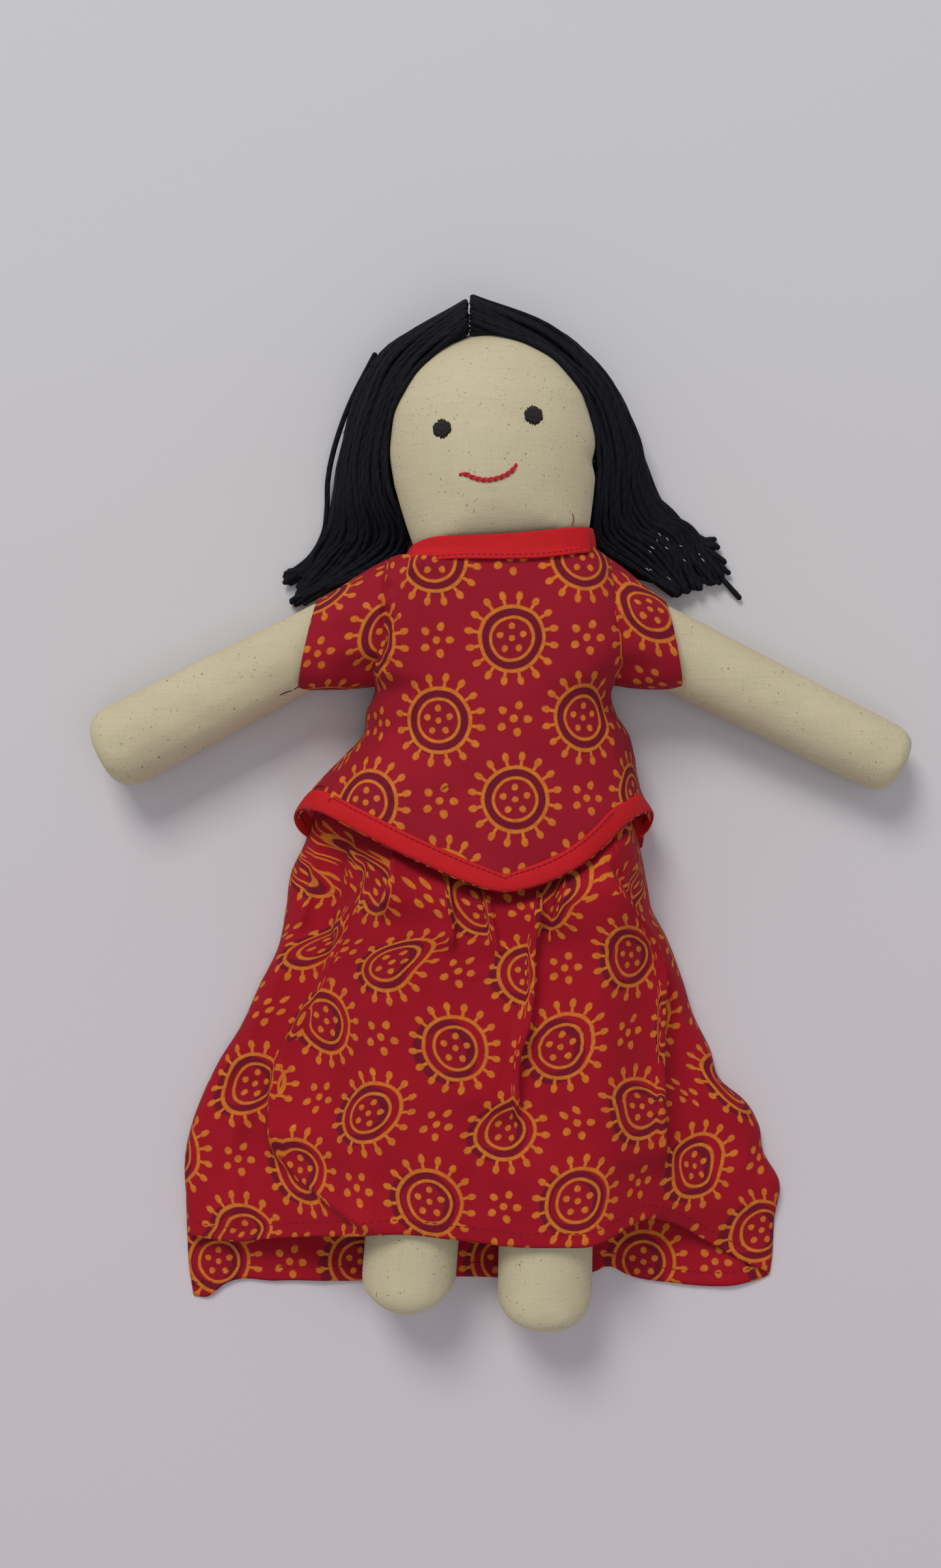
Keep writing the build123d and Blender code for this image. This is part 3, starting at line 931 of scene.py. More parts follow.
@dataclass
class Stuffed:
    """A closed cloth form filled with fibre: a sphere drawn into shape, then swollen as cloth."""

    name: str
    shape: Callable[[Array], Array]
    body: str
    shells: tuple
    core: str
    fill: float = 0.85
    voxel: float = 2.6
    pressure: float = 4.0
    swell: float = 1.6               # most that a point may move, mm
    pinch: Optional[Callable[[Array], Array]] = None
    core_gap: float = 1.0

    def build(self, materials: Materials) -> Piece:
        """Make the cover and the stuffing inside it.

        Args:
            materials: the doll's finishes.

        Returns:
            The cover.
        """
        deselect()
        bpy.ops.mesh.primitive_uv_sphere_add(segments=72, ring_count=48, radius=1.0)
        piece = named(self.name)
        move_points(piece, self.shape(points_of(piece)) * MM)
        on_all_faces(piece, bpy.ops.mesh.normals_make_consistent, inside=False)
        apply_modifier(piece, "REMESH", mode="VOXEL", voxel_size=self.voxel * MM)
        self._swell(piece)
        apply_modifier(piece, "SMOOTH", factor=0.5, iterations=3)
        if self.pinch is not None:
            places = points_of(piece)
            move_points(piece, places + self.pinch(places / MM) * MM)
        apply_modifier(piece, "SUBSURF", levels=1, render_levels=1)
        dress(piece, materials.calico, "calico")
        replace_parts(piece, *self.shells)
        self._stuffing(piece, materials)
        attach(piece, self.body)
        return piece

    def _swell(self, piece: Piece) -> None:
        """Blow the cover up a little as cloth, and cap how far each point moves."""
        before = points_of(piece)
        only(piece)
        modifier = piece.modifiers.new("cloth", "CLOTH")
        settings = modifier.settings
        settings.quality = 5
        settings.mass = 0.15
        settings.use_pressure = True
        settings.uniform_pressure_force = self.pressure
        settings.tension_stiffness = 20.0
        settings.compression_stiffness = 20.0
        settings.bending_stiffness = 0.6
        settings.effector_weights.gravity = 0.0
        modifier.point_cache.frame_start = 1
        modifier.point_cache.frame_end = 20
        scene = bpy.context.scene
        for number in range(1, 21):
            scene.frame_set(number)
        bpy.ops.object.modifier_apply(modifier=modifier.name)
        after = points_of(piece)
        scene.frame_set(1)
        step = after - before
        size = np.linalg.norm(step, axis=1, keepdims=True)
        cap = self.swell * MM
        move_points(piece, before + step * np.minimum(1.0, cap / np.maximum(size, 1e-9)))

    def _stuffing(self, cover: Piece, materials: Materials) -> None:
        """The fibre core: the cover's own form drawn in by the cloth's thickness."""
        only(cover)
        bpy.ops.object.duplicate()
        core = named(self.core + "_fibre")
        apply_modifier(core, "DISPLACE", strength=-self.core_gap * MM, mid_level=0.0)
        apply_modifier(core, "DECIMATE", ratio=0.3)
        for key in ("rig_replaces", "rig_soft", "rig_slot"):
            if key in core:
                del core[key]
        dress(core, materials.fibrefill, "stuffing")
        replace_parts(core, self.core)
        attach(core, self.body)


@dataclass
class Head:
    """The egg-shaped head, its embroidered face and the dimple where the hair is tacked."""

    base: tuple = (11.2, 80.0)       # middle of the neck
    lean: float = 5.5                # degrees to the doll's right
    middle_z: float = 27.0
    flat: float = 0.66               # depth over width
    neck_depth: float = 22.3         # half the depth at the neck's top
    neck_top: float = 21.8
    heights: tuple = (-4.0, 4.0, 14.0, 26.0, 38.0, 52.0, 64.0, 71.5, 75.6, 77.3)
    widths: tuple = (21.0, 30.6, 32.9, 35.3, 36.2, 33.6, 26.2, 17.2, 8.6, 0.0)
    face_lean: float = 8.0
    eyes: tuple = (("right_eye", -9.6, 119.6), ("left_eye", 21.2, 124.0))
    mouth: tuple = ((-3.5, 104.6), (-1.4, 104.2), (1.4, 102.9), (5.0, 102.2), (8.8, 102.7),
                    (12.6, 104.3), (15.9, 107.4))

    def form(self, sphere: Array) -> Array:
        """Turn a unit sphere into the head, in mm."""
        turn = np.clip((sphere[:, 2] + 1.0) / 2.0, 0.0, 1.0)
        polar = np.arccos(np.clip(sphere[:, 2], -1.0, 1.0))
        s = (1.0 - polar / math.pi)
        low, high = self.heights[0], self.heights[-1]
        height = low + (high - low) * (0.5 - 0.5 * np.cos(math.pi * s))
        width = np.interp(height, self.heights, self.widths)
        width = np.where(turn < 1e-6, 0.0, width)
        round_ = np.maximum(np.hypot(sphere[:, 0], sphere[:, 1]), 1e-9)
        cx, cz = sphere[:, 0] / round_, sphere[:, 1] / round_
        across = width * cx
        depth = width * self.flat * cz
        below = np.maximum(self.neck_top - height, 0.0)
        neck = np.clip((self.neck_depth - below) / self.neck_depth, 0.0, 1.0)
        limit = self.neck_depth * np.sqrt(np.clip(1.0 - (1.0 - neck) ** 2, 0.0, 1.0)) + 0.01
        depth = np.where(height < self.neck_top, np.clip(depth, -limit, limit), depth)
        angle = math.radians(self.lean)
        x = self.base[0] + across * math.cos(angle) - height * math.sin(angle)
        y = self.base[1] + across * math.sin(angle) + height * math.cos(angle)
        return np.stack([x, y, self.middle_z - depth], axis=1)

    def pinch(self, places: Array) -> Array:
        """The dimple on the doll's left cheek and soft hollows of hand stuffing."""
        x, y, z = places.T
        dimple = np.exp(-((x - 43.5) / 6.0) ** 2 - ((y - 111.5) / 3.2) ** 2 - ((z - 30) / 10.0) ** 2)
        lumps = Wobble(5, 42.0)(x, y) * 0.35
        return np.stack([-dimple * 1.6, np.zeros_like(x), lumps * np.sign(z - self.middle_z)], axis=1)

    def build(self, materials: Materials) -> BVHTree:
        """Make the head and the face.

        Args:
            materials: the doll's finishes.

        Returns:
            The head's surface, for what is sewn on it.
        """
        cover = Stuffed("head_cover", self.form, "head", ("head_front_panel", "head_back_panel"),
                        "head_stuffing", voxel=2.4, pinch=self.pinch, swell=0.8).build(materials)
        tree = tree_of(cover)
        for name, x, y in self.eyes:
            self._eye(name, x, y, tree, materials)
        self._mouth(tree, materials)
        return tree

    def _eye(self, name: str, x: float, y: float, tree: BVHTree, materials: Materials) -> None:
        """Satin stitches side by side, filling a rounded diamond."""
        eye = StrandSet(name + "_satin", radius=0.30)
        lean = math.radians(self.face_lean)
        draw = random.Random(len(name) * 3)
        count = 15
        for k in range(count):
            t = -1.0 + 2.0 * k / (count - 1)
            half = 3.25 * (1.0 - abs(t) ** 1.5 * 0.60) + draw.uniform(-0.34, 0.34)
            line = []
            for s in np.linspace(-1.0, 1.0, 9):
                a, b = 2.75 * t, half * s
                px = x + a * math.cos(lean) - b * math.sin(lean)
                py = y + a * math.sin(lean) + b * math.cos(lean)
                rise = 0.46 * (1.0 - s**4) - 0.14 + 0.05 * (k % 2)
                line.append((px, py, (top_of(tree, px, py) or 49.0) + rise))
            eye.add(line)
        piece = eye.build()
        fit(piece, materials.black_floss, "black_floss", "head", name)

    def _mouth(self, tree: BVHTree, materials: Materials) -> None:
        """A line of stem stitches, each lying half over the one before."""
        line = even_line(smooth_line(self.mouth, 80), 0.4)
        mouth = StrandSet("mouth_stitches", radius=0.38, sides=7)
        span = 9
        for start in range(0, len(line) - span, 5):
            part = line[start:start + span]
            step = part[-1] - part[0]
            side = np.array([-step[1], step[0]]) / np.linalg.norm(step)
            points = []
            for k, (px, py) in enumerate(part):
                t = k / (len(part) - 1)
                offset = (t - 0.5) * 0.85
                qx, qy = px + side[0] * offset, py + side[1] * offset
                rise = 0.40 * math.sin(math.pi * t) - 0.05
                points.append((qx, qy, (top_of(tree, qx, qy) or 49.0) + rise))
            mouth.add(points)
            mouth.add([(a - side[0] * 0.42, b - side[1] * 0.42, c - 0.05) for a, b, c in points], 0.32)
        piece = mouth.build()
        fit(piece, materials.red_floss, "red_floss", "head", "mouth")


@dataclass
class Limb:
    """An arm or a leg: a tube of calico with a rounded closed end."""

    name: str                        # such as left_arm
    joint: str
    far: tuple                       # middle of the closed end, mm
    start: float                     # radius at the joint
    end: float                       # radius at the closed end
    edge: float                      # rounding of the closed end
    flat: float = 0.94               # height over width
    flats: tuple = ()                # flat places of the closed end: degrees off the axis, distance, mm

    def form(self, sphere: Array) -> Array:
        """Turn a unit sphere into the limb, in mm."""
        first = joint_place(self.joint)
        last = np.array(self.far)
        axis = last - first
        length = np.linalg.norm(axis)
        axis /= length
        polar = np.arccos(np.clip(sphere[:, 2], -1.0, 1.0)) / math.pi
        s = -self.start + (length + self.start) * (0.5 - 0.5 * np.cos(math.pi * polar))
        radius = self.start + (self.end - self.start) * np.clip(s / length, 0.0, 1.0)
        ball = np.sqrt(np.clip(self.start**2 - np.clip(-s, 0, None) ** 2, 0.0, None))
        tail = np.clip(s - (length - self.edge), 0.0, self.edge)
        cap = (self.end - self.edge) + np.sqrt(np.clip(self.edge**2 - tail**2, 0.0, None))
        radius = np.where(s < 0, ball, np.where(tail > 0, cap, radius))
        radius = np.where(polar < 1e-6, 0.0, radius)
        radius = np.where(polar > 1 - 1e-6, 0.0, radius)
        round_ = np.maximum(np.hypot(sphere[:, 0], sphere[:, 1]), 1e-9)
        side = np.cross(axis, (0.0, 0.0, 1.0))
        side /= np.linalg.norm(side)
        up = np.cross(side, axis)
        across = radius * sphere[:, 0] / round_
        rise = radius * sphere[:, 1] / round_ * self.flat
        for degrees, limit in self.flats:
            c, d = math.cos(math.radians(degrees)), math.sin(math.radians(degrees))
            over = np.maximum((s - length) * c + across * d - limit, 0.0) * 0.8
            s, across = s - over * c, across - over * d
        places = first + axis * s[:, None] + side * across[:, None] + up * rise[:, None]
        places[:, 2] = np.maximum(places[:, 2], 0.25)
        return places

    def pinch(self, places: Array) -> Array:
        """Uneven hand stuffing and a shallow seam line along both sides."""
        x, y, z = places.T
        lumps = Wobble(len(self.name) + int(self.start * 7), 34.0)
        rise = lumps(x, y) * 0.45
        middle = joint_place(self.joint)[2]
        seam = np.exp(-((z - middle + 1.0) / 0.9) ** 2)
        first, last = joint_place(self.joint), np.array(self.far)
        axis = (last - first) / np.linalg.norm(last - first)
        offset = places - first
        radial = offset - (offset @ axis)[:, None] * axis
        radial[:, 2] = 0.0
        norm = np.maximum(np.linalg.norm(radial, axis=1, keepdims=True), 1e-6)
        out = -radial / norm * (seam * 0.35)[:, None]
        out[:, 2] += np.where(z > middle, rise, 0.0)
        return out

    def build(self, materials: Materials) -> Piece:
        """Make the limb's cover and stuffing."""
        return Stuffed(self.name + "_tube", self.form, self.name, (self.name + "_cover",),
                       self.name + "_stuffing", pinch=self.pinch, swell=0.9).build(materials)


@dataclass
class Torso:
    """The stuffed body under the clothes."""

    left_edge: tuple = ((-44, -24), (-10, -26), (30, -26), (62, -25), (76, -17))
    right_edge: tuple = ((-44, 43), (-10, 45), (30, 44.5), (62, 44), (76, 36))
    low_end: float = -44.0
    high_end: float = 76.0
    end_rounding: float = 10.0
    crown: float = 39.5
    floor: float = 3.6

    def form(self, sphere: Array) -> Array:
        """Turn a unit sphere into a flat pillow, in mm."""
        polar = np.arccos(np.clip(sphere[:, 2], -1.0, 1.0)) / math.pi
        y = self.low_end + (self.high_end - self.low_end) * (0.5 + 0.5 * np.cos(math.pi * polar))
        ends = np.clip(np.minimum(y - self.low_end, self.high_end - y) / self.end_rounding, 0.0, 1.0)
        size = np.sqrt(1.0 - (1.0 - ends) ** 2)
        left = through(*zip(*self.left_edge), y)
        right = through(*zip(*self.right_edge), y)
        round_ = np.maximum(np.hypot(sphere[:, 0], sphere[:, 1]), 1e-9)
        cx, cz = sphere[:, 0] / round_, sphere[:, 1] / round_
        box_x = np.sign(cx) * np.abs(cx) ** 0.9
        box_z = np.sign(cz) * np.abs(cz) ** 0.9
        x = (left + right) / 2 + (right - left) / 2 * box_x * (0.75 + 0.25 * size)
        middle = (self.crown + self.floor) / 2
        waist = 1.0 - 0.17 * np.exp(-((y + 21.0) / 17.0) ** 2)
        z = middle - (self.crown - self.floor) / 2 * box_z * size * waist
        return np.stack([x, y, z], axis=1)

    def build(self, materials: Materials) -> None:
        """Make the torso's cover and stuffing."""
        Stuffed("torso_cover", self.form, "torso", ("torso_front_panel", "torso_back_panel"),
                "torso_stuffing", voxel=3.2, swell=0.4).build(materials)


# ---- Hair ----
@dataclass
class HairHalf:
    """One half of the yarn hair, from the parting round the head to its cut ends."""

    half: Half
    stations: tuple                  # at each: three points, front edge, outer edge and back, mm
    ends: tuple                      # groups of cut ends: (x, y, z, share of strands)
    stray: tuple = ()                # lone strands: points, mm
    strands: int = 46
    radius: float = 0.98
    seed: int = 1

    def _line(self, t: float, inward: float, draw: random.Random) -> Array:
        """One strand's line: t runs from the face edge over the outside to the back."""
        points = []
        for row, (front, outer, back) in enumerate(self.stations):
            a, b, c = (np.array(p, float) for p in (front, outer, back))
            control = b * 2.0 - (a + c) * 0.5
            place = (1 - t) ** 2 * a + 2 * t * (1 - t) * control + t**2 * c
            middle = (a + b + c) / 3.0
            pull = middle - place
            length = np.linalg.norm(pull)
            if length > 1e-6:
                place = place + pull / length * min(inward, length)
            jitter = 0.6 if row else 0.15
            place = place + [draw.gauss(0, size) for size in (jitter, jitter, jitter * 0.6)]
            place[2] = max(place[2], self.radius + 0.15)
            points.append(place)
        return np.asarray(points)

    def build(self, head: BVHTree, materials: Materials) -> None:
        """Make the strands.

        Args:
            head: the head's surface, which the strands stay outside.
            materials: the doll's finishes.
        """
        draw = random.Random(self.seed)
        yarn = StrandSet(f"hair_{self.half.word}_strands", radius=self.radius)
        layers = ((0.0, self.strands), (0.9, int(self.strands * 0.7)), (2.2, int(self.strands * 0.7)),
                  (4, int(self.strands * 0.6)), (6.5, int(self.strands * 0.4)))
        for inward, count in layers:
            for k in range(count):
                t = (k + draw.uniform(0.2, 0.8)) / count
                line = np.vstack([self._line(t, inward, draw), self._end(t, draw)])
                fine = self._outside(smooth_line(line, 46), head)
                yarn.add(fine, self.radius * draw.uniform(0.85, 1.08))
                self._fuzz(yarn, fine, draw, 5)
        for points in self.stray:
            fine = smooth_line(points, 40)
            yarn.add(fine)
            self._fuzz(yarn, fine, draw, 14)
        piece = yarn.build()
        dress(piece, materials.yarn, "yarn")
        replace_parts(piece, f"hair_{self.half.word}", f"hair_ends_{self.half.word}")
        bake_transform(piece)

    def _fuzz(self, yarn: StrandSet, line: Array, draw: random.Random, count: int) -> None:
        """Fine fibres that stand off a strand."""
        for _ in range(count):
            k = draw.randrange(6, len(line) - 3)
            start = line[k]
            ahead = line[k + 2] - line[k]
            ahead = ahead / max(np.linalg.norm(ahead), 1e-6)
            off = np.array([draw.gauss(0, 1), draw.gauss(0, 1), abs(draw.gauss(0, 0.8))])
            off = off / np.linalg.norm(off)
            size = draw.uniform(1.2, 2.6)
            yarn.add([start, start + (off * 0.7 + ahead * 0.6) * size * 0.6,
                      start + (off * 0.8 + ahead * 1.3) * size], 0.055)

    def _end(self, t: float, draw: random.Random) -> Array:
        """The cut end of a strand, in one of the groups."""
        x, y, z, spread = self.ends[min(int(t * len(self.ends)), len(self.ends) - 1)]
        return np.array([[x + draw.gauss(0, spread), y + draw.gauss(0, spread * 0.8),
                          max(z + draw.gauss(0, 0.8), self.radius + 0.15)]])

    def _outside(self, line: Array, head: BVHTree) -> Array:
        """Push points that fall inside the head out to its surface."""
        out = line.copy()
        for k, place in enumerate(line):
            near, normal = head.find_nearest(Vector(place * MM))[:2]
            outward = (Vector(place * MM) - near).dot(normal)
            room = (self.radius + 0.1) * MM
            if outward < room:
                out[k] = np.array(near + normal * room) / MM
        out[:, 2] = np.maximum(out[:, 2], self.radius + 0.15)
        return out


@dataclass
class Hair:
    """All of the hair."""

    right: HairHalf = field(default_factory=lambda: HairHalf(
        half=Half.RIGHT, seed=11,
        stations=(((-1.6, 156.4, 38), (-1.6, 162.4, 18), (-1.4, 104, 2.5)),
                  ((-15.5, 145, 35), (-30.5, 151, 12), (-14, 128, 2.5)),
                  ((-25, 130, 33), (-41, 132, 11), (-22, 110, 2)),
                  ((-28.2, 113, 30), (-47, 112, 9), (-26, 98, 2)),
                  ((-26.8, 100.5, 28), (-49, 97, 7), (-25, 90, 1.8)),
                  ((-20.5, 88, 18), (-51.5, 88.5, 5), (-24, 82, 1.5)),
                  ((-28.5, 78.6, 10), (-57, 80.5, 3.5), (-36, 76, 1.5))),
        ends=((-59.5, 67, 4, 1), (-62.5, 66, 3, 0.9), (-61, 69.5, 2.5, 1.1),
              (-65.8, 73.5, 2.2, 0.7), (-65.5, 75.3, 2.2, 0.7), (-60, 69.5, 1.6, 1.2)),
        stray=(((-34, 153, 10), (-43, 136, 8), (-48.6, 121, 6), (-51.2, 109, 4.5),
                (-51.6, 99, 3.5), (-53, 90, 2.6), (-58, 81.5, 2), (-67, 74.6, 1.5)),)))
    left: HairHalf = field(default_factory=lambda: HairHalf(
        half=Half.LEFT, seed=23,
        stations=(((0.6, 157, 38), (0.6, 164.2, 18), (0.6, 104, 2.5)),
                  ((20.5, 149, 35), (31, 158, 12), (20, 130, 2.5)),
                  ((37, 132, 33), (49.5, 140, 11), (32, 112, 2)),
                  ((43.2, 113, 30), (60, 119, 9), (41, 99, 2)),
                  ((42, 98, 27), (64.2, 105, 7), (42, 91, 1.8)),
                  ((42.5, 85.5, 20), (71, 97, 5), (45, 83, 1.5)),
                  ((56, 76, 11), (79.5, 91, 4), (56, 75, 1.5))),
        ends=((73.5, 69, 6, 0.9), (77.5, 69.5, 4.5, 1), (81.5, 70.5, 4, 1), (86, 72.5, 3.5, 1),
              (90, 75.5, 3, 1), (90.5, 80, 2.8, 0.9), (88, 85.8, 2.4, 0.8), (86.5, 86.6, 2, 0.8),
              (84, 76, 1.8, 2), (78, 72, 1.6, 2)),
        stray=(((52, 139, 8), (61, 118, 6), (67, 103, 5), (74, 92, 4.5), (82, 83, 4),
                (89.5, 75, 3), (97, 67, 1.6)),)))

    def build(self, head: BVHTree, materials: Materials) -> None:
        """Make both halves, the parting thread and the tacks."""
        self.right.build(head, materials)
        self.left.build(head, materials)
        self._parting(materials)
        self._tacks(materials)

    def _parting(self, materials: Materials) -> None:
        """Backstitches along the parting, over the crown and down the back of the head."""
        track = smooth_line(((-0.5, 158.8, 38.0), (-0.5, 163.4, 24.0), (-0.5, 160.5, 8.0),
                             (-0.5, 140, 2.2), (-0.5, 110, 2)), 60)
        stitches = StrandSet("parting_stitches", radius=0.35)
        stitches.stitch(even_line(track, 0.8), 5, (0.2, 0.2, 0.2, 0.2), 4)
        piece = stitches.build()
        fit(piece, materials.black_floss, "black_floss", "head", "parting_thread")

    def _tacks(self, materials: Materials) -> None:
        """A few stitches at each cheek that hold the hair to the head."""
        tacks = StrandSet("hair_tack_stitches", radius=0.3)
        for x, y, side in ((42.4, 111.5, 1), (-28.6, 107.5, -1)):
            for k in range(3):
                z = 24.0 + k * 1.6
                tacks.add([(x - side * 0.8, y, z), (x + side * 0.8, y + 0.6, z + 0.2),
                           (x + side * 2.6, y + 1.0, z)])
        piece = tacks.build()
        fit(piece, materials.black_floss, "black_floss", "head", "hair_tacks")


# ---- Blouse ----
@dataclass
class Blouse:
    """The short printed blouse with its plain red collar and hem binding."""

    # at each level: y, left edge, right edge, crown, all in mm, and squareness of the section
    levels: tuple = ((-38, -56, 59, 49, 2.9), (-20, -59, 62.5, 49, 2.9),
                     (-10, -61.6, 64.2, 49, 2.9), (-2, -56.8, 61, 48.6, 2.8),
                     (5, -50.5, 59.4, 48.2, 2.7), (11.5, -44, 58.4, 47.8, 2.6),
                     (17, -39, 57, 47.4, 2.6),
                     (26, -37.2, 51.6, 47, 2.8), (33, -34, 50.2, 46.8, 3.4),
                     (39, -34.8, 53.2, 46.6, 4.6), (47, -34.6, 55.2, 46.5, 5.5),
                     (54, -33.6, 54.6, 46.4, 5.5), (64, -32, 52.8, 46, 5.2),
                     (74, -31, 51, 45, 4.4), (81, -29.6, 49.4, 43.4, 3.2))
    hem: tuple = ((-64, -18), (-62, -14.5), (-60, -10.4), (-57, -8.9), (-53.5, -9.4),
                  (-40.4, -15.2), (-25, -22.9), (-13, -28.4), (-1, -33.4), (10.8, -36.4),
                  (20.9, -34.9), (31.8, -30.8), (39.5, -26.4), (47.5, -19.8),
                  (54.5, -13.2), (58.5, -10.9), (61.5, -10.4), (63.5, -13), (65.5, -18))
    neck: tuple = ((-33, 75.6), (-28, 78.4), (-22, 78.6), (-10, 76.8), (13, 78.6), (34, 80.6),
                   (43, 81.2), (48, 78), (52, 75.4))
    back_top: float = 79.5
    back_hem: float = -23.0
    back_tape: tuple = (-56.0, 60.0) # its two ends
    tape_width: float = 7.6
    middle: float = 10.0             # folds on either side of it hide cloth away from it
    side_upper: tuple = (((-53.8, -1.8, 31), (-56.8, -3.2, 23), (-58.4, -5.8, 15), (-58.9, -9, 8.5),
                          (-57, -12.5, 3.6), (-51, -14, 2.4)),
                         ((56.2, -4.2, 31), (58.6, -3.4, 25), (60.6, -4.6, 17), (61.4, -7.6, 10),
                          (60.5, -12, 4.5), (55.5, -14.2, 2.4)))
    side_lower: tuple = (((-56.6, -8.7, 28.5), (-60.6, -9.4, 21), (-62.6, -12.2, 14.5), (-61.6, -16.2, 8.5),
                          (-58.3, -19.4, 4), (-52, -21.6, 2.4)),
                         ((58.4, -11, 30), (61.8, -9.6, 24), (64.6, -10.8, 17), (64.6, -14.4, 10.5),
                          (62.4, -18.2, 5), (56.6, -21.2, 2.6)))
    columns: int = 150
    rows: int = 120

    def crown(self, x: Array, y: Array) -> Array:
        """The height of the cloth at a place, mm."""
        ys, left, right, height, power = (np.array(c) for c in zip(*self.levels))
        a, b = through(ys, left, y), through(ys, right, y)
        h, p = through(ys, height, y), through(ys, power, y)
        s = np.clip(np.abs((x - (a + b) / 2) / ((b - a) / 2)), 0.0, 1.0)
        return h * np.clip(1.0 - s**p, 0.0, 1.0) ** (1.0 / p)

    def folds(self) -> tuple:
        """The folds and creases of the front."""
        return (Fold(((-17, 79), (-20.5, 68), (-23, 56), (-27, 44), (-31, 34)),
                     2.4, 7, 2.6, -1, 0.8, 6),
                Fold(((-10, 80), (-16, 75.5), (-20, 71)), 1.2, 4, 1.8, -1, 0.3, 4),
                Fold(((33, 70), (40, 58), (45, 47), (46, 38)), 1.4, 9, 4, 1, 0.4),
                Fold(((-28, 22), (-34, 8), (-40, -8)), 1.6, 8, 4, 1, 0.3),
                Fold(((-43, 9), (-46, 2), (-50, -8)), 2.2, 4, 1.6, 1, 0.8, 5, 4),
                Fold(((46, 26), (51, 10), (55, -6)), 1.8, 6, 3, -1, 0.3),
                Fold(((12.6, -6), (12.2, -22), (11.2, -36)), 0.8, 12, 9, 1))

    def front(self, u: Array, v: Array) -> Array:
        """The front's surface, mm, for grid places from 0 to 1."""
        s = -np.cos(np.clip(u, 0, 1) * math.pi)
        y = np.full_like(s, -5.0)        # a first guess
        for _ in range(5):
            left, right = through(*self._edge(1), y), through(*self._edge(2), y)
            x = (left + right) / 2 + (right - left) / 2 * s * 0.999
            top, low = through(*zip(*self.neck), x), through(*zip(*self.hem), x)
            y = top + (low - top) * v
        z = self.crown(x, y)
        shift, rise = folded(self.folds(), x, y)
        inside = ease(z, 3.0, 18.0)
        near = np.exp(-((x + 31.0) / 4.2) ** 2) + 0.35 * np.exp(-((x - 51.0) / 3.0) ** 2)
        gathers = (np.sin(y * 0.80 + 0.35 * x + 1.6 * np.sin(y * 0.17)) + Wobble(41, 9.0)(x, y) * 1.1) * near
        hollow = 3.2 * np.exp(-((x + 30.0) / 2.6) ** 2 - ((y - 50.0) / 6.0) ** 2)
        z = z + (rise + gathers * 1.1 * ease(y, 32.0, 44.0) - hollow + Wobble(3, 46.0)(x, y) * 0.5) * inside
        return np.stack([x + shift * inside, y, np.maximum(z, 0.7)], axis=1)

    def _edge(self, column: int) -> tuple:
        """The places and values of one column of the levels."""
        return [row[0] for row in self.levels], [row[column] for row in self.levels]

    def back(self, u: Array, v: Array) -> Array:
        """The back's surface, flat on the table."""
        y = self.back_top + (self.back_hem - self.back_top) * v
        left, right = through(*self._edge(1), y), through(*self._edge(2), y)
        x = left + (right - left) * u
        z = 0.75 + 0.15 * Wobble(9, 30.0)(x, y)
        return np.stack([x, y, z], axis=1)

    def build(self, materials: Materials) -> None:
        """Make the blouse."""
        front = Cloth("blouse_front_cloth", self.columns, self.rows, self.front,
                      tucks=lambda x, y: sum(f.hidden(x, y, self.middle) for f in self.folds())).build()
        fit(front, materials.blouse, "blouse_print", "torso", "blouse_front")
        tree = tree_of(front)
        for side, start in (("right", 0.0), ("left", 0.5)):
            back = Cloth(f"blouse_back_{side}_cloth", 46, 70,
                         lambda u, v, start=start: self.back(start + 0.5 * u, v)).build()
            fit(back, materials.blouse, "blouse_print", "torso", f"blouse_back_{side}")
        self._binding(tree, materials)
        self._studs(materials)

    def _hem_line(self, tree: BVHTree, rise: float, lift: float, ends: float = 0.0) -> Array:
        """A line along the front hem, moved towards the head by rise, lying on the cloth.

        The tape is mitred at the point of the hem, so lines further in dip more sharply there.
        """
        x = np.linspace(-51.0 + ends, 55.0 - ends, 220)
        y = through(*zip(*self.hem), x)
        slope = np.gradient(y, x)
        slope = np.convolve(np.pad(slope, 6, mode="edge"), np.ones(13) / 13, mode="valid")
        norm = np.hypot(slope, 1.0)
        mitre = 0.26 * rise * np.exp(-np.abs(x - 11.4) / 4.0)
        px, py = x - slope / norm * rise, y + rise / norm - mitre
        z = np.array([top_of(tree, a, b) or 0.0 for a, b in zip(px, py)])
        return np.stack([px, py, z + lift], axis=1)

    @staticmethod
    def _round_sides(middle: Array, right: tuple, left: tuple) -> Array:
        """A line along the front hem with the turns at both sides added, where the hem goes under."""
        whole = np.vstack([np.asarray(right, float)[::-1], middle[::12], np.asarray(left, float)])
        return even_line(smooth_line(whole, 600), 0.8)

    def _binding(self, tree: BVHTree, materials: Materials) -> None:
        """The bias tape folded over the front hem, its topstitching, and the tape of the back hem."""
        upper = self._round_sides(self._hem_line(tree, self.tape_width, 0.35), *self.side_upper)
        lower = self._round_sides(self._hem_line(tree, 0.3, 0.5), *self.side_lower)
        count = 260                      # points along the tape
        upper, lower = smooth_line(upper, count), smooth_line(lower, count)
        middle = (upper + lower) / 2
        outward = np.stack([(middle[:, 0] - 3.0) * 0.35, np.zeros(count), np.full(count, 14.0)], axis=1)
        outward /= np.linalg.norm(outward, axis=1)[:, None]
        inward = (upper - lower) / np.linalg.norm(upper - lower, axis=1)[:, None]
        keys = np.stack([upper, upper - inward * 1.2 + outward * 0.5, middle + outward * 0.75,
                         lower + inward * 1.2 + outward * 0.6, lower, lower + inward * 0.5 - outward * 1.1,
                         lower + inward * 3.0 - outward * 1.5])

